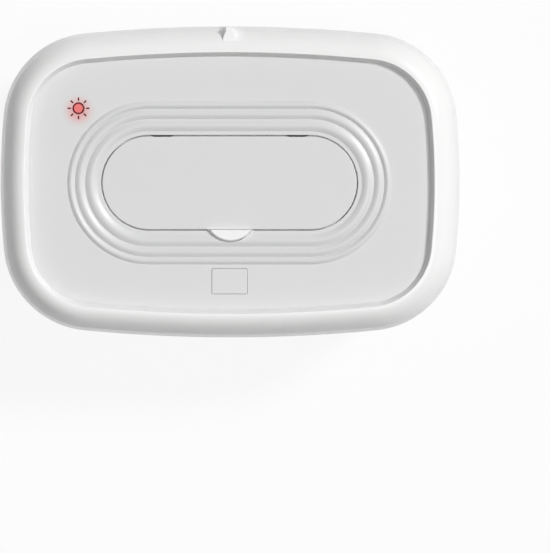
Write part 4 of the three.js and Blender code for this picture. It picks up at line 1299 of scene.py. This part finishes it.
boss_half = 0.0036
boss_top = crest - 0.0022
boss_draft = 0.19
boss_draft_reach = 0.0092
boss_front = 0.0079
boss_back = 0.0001
boss_steps = 24
inlet_hole = 0.0033
neck_front = 0.0008
neck_back = 0.0022
sections = []
for inset in sweep(boss_back, boss_front, boss_steps):
    rim_z = belt + (crest - belt) * sqrt(1 - (1 - inset / crest_inset) ** 2)
    foot_z = min(max(rim_z, boss_top - boss_draft_reach), boss_top - 0.0001)
    half = boss_half - boss_draft * (boss_top - foot_z)
    y = half_width - inset
    sections.append([
        (-boss_half, y, belt),
        (boss_half, y, belt),
        (boss_half, y, foot_z),
        (half, y, boss_top),
        (-half, y, boss_top),
        (-boss_half, y, foot_z),
    ])
boss = make("boss", loft(sections))
soften(boss, fillet, 60)
hollow = [bowed(cover_wall + 0.0001, belt - overrun)]
hollow += [bowed(u + 0.0001, v) for u, v, _ in inner_arch]
cut(boss, loft(hollow))
join(cover, shape_of(boss))
cut(cover, bar("y", inlet_hole, half_width - boss_front, half_width + overrun, 0, inlet_z, 48))
for x in hinge_places:
    low, high = x - knuckle_half, x + knuckle_half
    join(cover, block(
        (low, hinge_y - neck_front, hinge_z),
        (high, hinge_y + neck_back, (rib_bottom + rib_top) / 2),
    ))
    join(cover, bar("x", knuckle_radius, low, high, hinge_y, hinge_z, 48))
    cut(cover, bar("x", hinge_bore, low - overrun, high + overrun, hinge_y, hinge_z))
stand_in(cover, "main_lid", "white_gloss", white_gloss, "lid_rim_cover")

# Lid screws
# Six zinc-plated steel screws, driven from below into the bosses under the panel.
# They clamp the underside, the heater and the panel together.
for name in lid_screws:
    fit_screw(name, "main_lid")

# Floor, lamps and camera
# A plain white table under soft studio light: a broad lamp from the right rear, a weaker one
# nearly overhead and an even white surround. The camera stands above.
floor_half = 6.0
floor_corners = [(x * floor_half, y * floor_half, 0) for x, y in ((-1, -1), (1, -1), (1, 1), (-1, 1))]
floor = make("floor", (floor_corners, [(0, 1, 2, 3)]))
floor_paint, tree, shader = finish("floor_paint", specular=0.0)
supply(tree, shader, {"Base Color": (0.8, 0.8, 0.8, 1), "Roughness": 1.0})
white_share = 0.9


def seen_rays(tree):
    """1 for what the camera or a reflection sees of a surface, 0 for the light it gives."""
    path = tree.nodes.new("ShaderNodeLightPath").outputs
    return path, number(tree, "MAXIMUM", path["Is Camera Ray"], path["Is Glossy Ray"])


def blend(tree, mask, plain, shown, output):
    """Shows another shader where the mask is 1."""
    mix = new_node(tree, "MixShader", {0: mask, 1: plain.outputs[0], 2: shown.outputs[0]})
    supply(tree, tree.nodes[output], {"Surface": mix.outputs[0]})


path, seen = seen_rays(tree)
seen = number(tree, "MULTIPLY", seen, white_share)
blend(tree, seen, shader, new_node(tree, "Emission", {}), "Material Output")
floor.data.materials.append(floor_paint)

world = bpy.data.worlds.new("surround")
bpy.context.scene.world = world
world.use_nodes = True
tree = world.node_tree
white = (1, 1, 1, 1)
surround_strength = 0.16
background = tree.nodes["Background"]
supply(tree, background, {"Color": white, "Strength": surround_strength})
backdrop = new_node(tree, "Background", {"Color": white, "Strength": 1.0})
path, seen = seen_rays(tree)
seen = number(tree, "MAXIMUM", seen, path["Is Transmission Ray"])
blend(tree, seen, background, backdrop, "World Output")

lamp_spread = radians(10)
for name, energy, azimuth, elevation in (("key", 2.3, 31, 50), ("top", 0.62, 330, 80)):
    light = bpy.data.lights.new(name, "SUN")
    light.energy = energy
    light.angle = lamp_spread
    lamp = bpy.data.objects.new(name, light)
    lamp.rotation_euler = (0, pi / 2 - radians(elevation), radians(azimuth))
    bpy.context.scene.collection.objects.link(lamp)

photo_width = 550
photo_height = 553
body_pixel_x = 230.1
body_pixel_y = 181.9
body_pixels = 459.2
pixel = 2 * half_length / body_pixels
camera_height = 6.0
sensor = 36.0
camera = bpy.data.cameras.new("camera")
camera.sensor_width = sensor
camera.sensor_fit = "HORIZONTAL"
camera.lens = sensor * (camera_height - belt) / (photo_width * pixel)
camera.clip_end = 20
viewer = bpy.data.objects.new("camera", camera)
lean_x = 0.0137
lean_y = 0.022
aim = Vector(((photo_width / 2 - body_pixel_x) * pixel, -(photo_height / 2 - body_pixel_y) * pixel, belt))
viewer.location = (lean_x * camera_height, lean_y * camera_height, camera_height)
way = (aim - viewer.location).normalized()
viewer.rotation_euler = (asin(way.y), atan2(-way.x, -way.z), 0)
bpy.context.scene.collection.objects.link(viewer)
bpy.context.scene.camera = viewer
bpy.context.scene.view_settings.view_transform = "Standard"
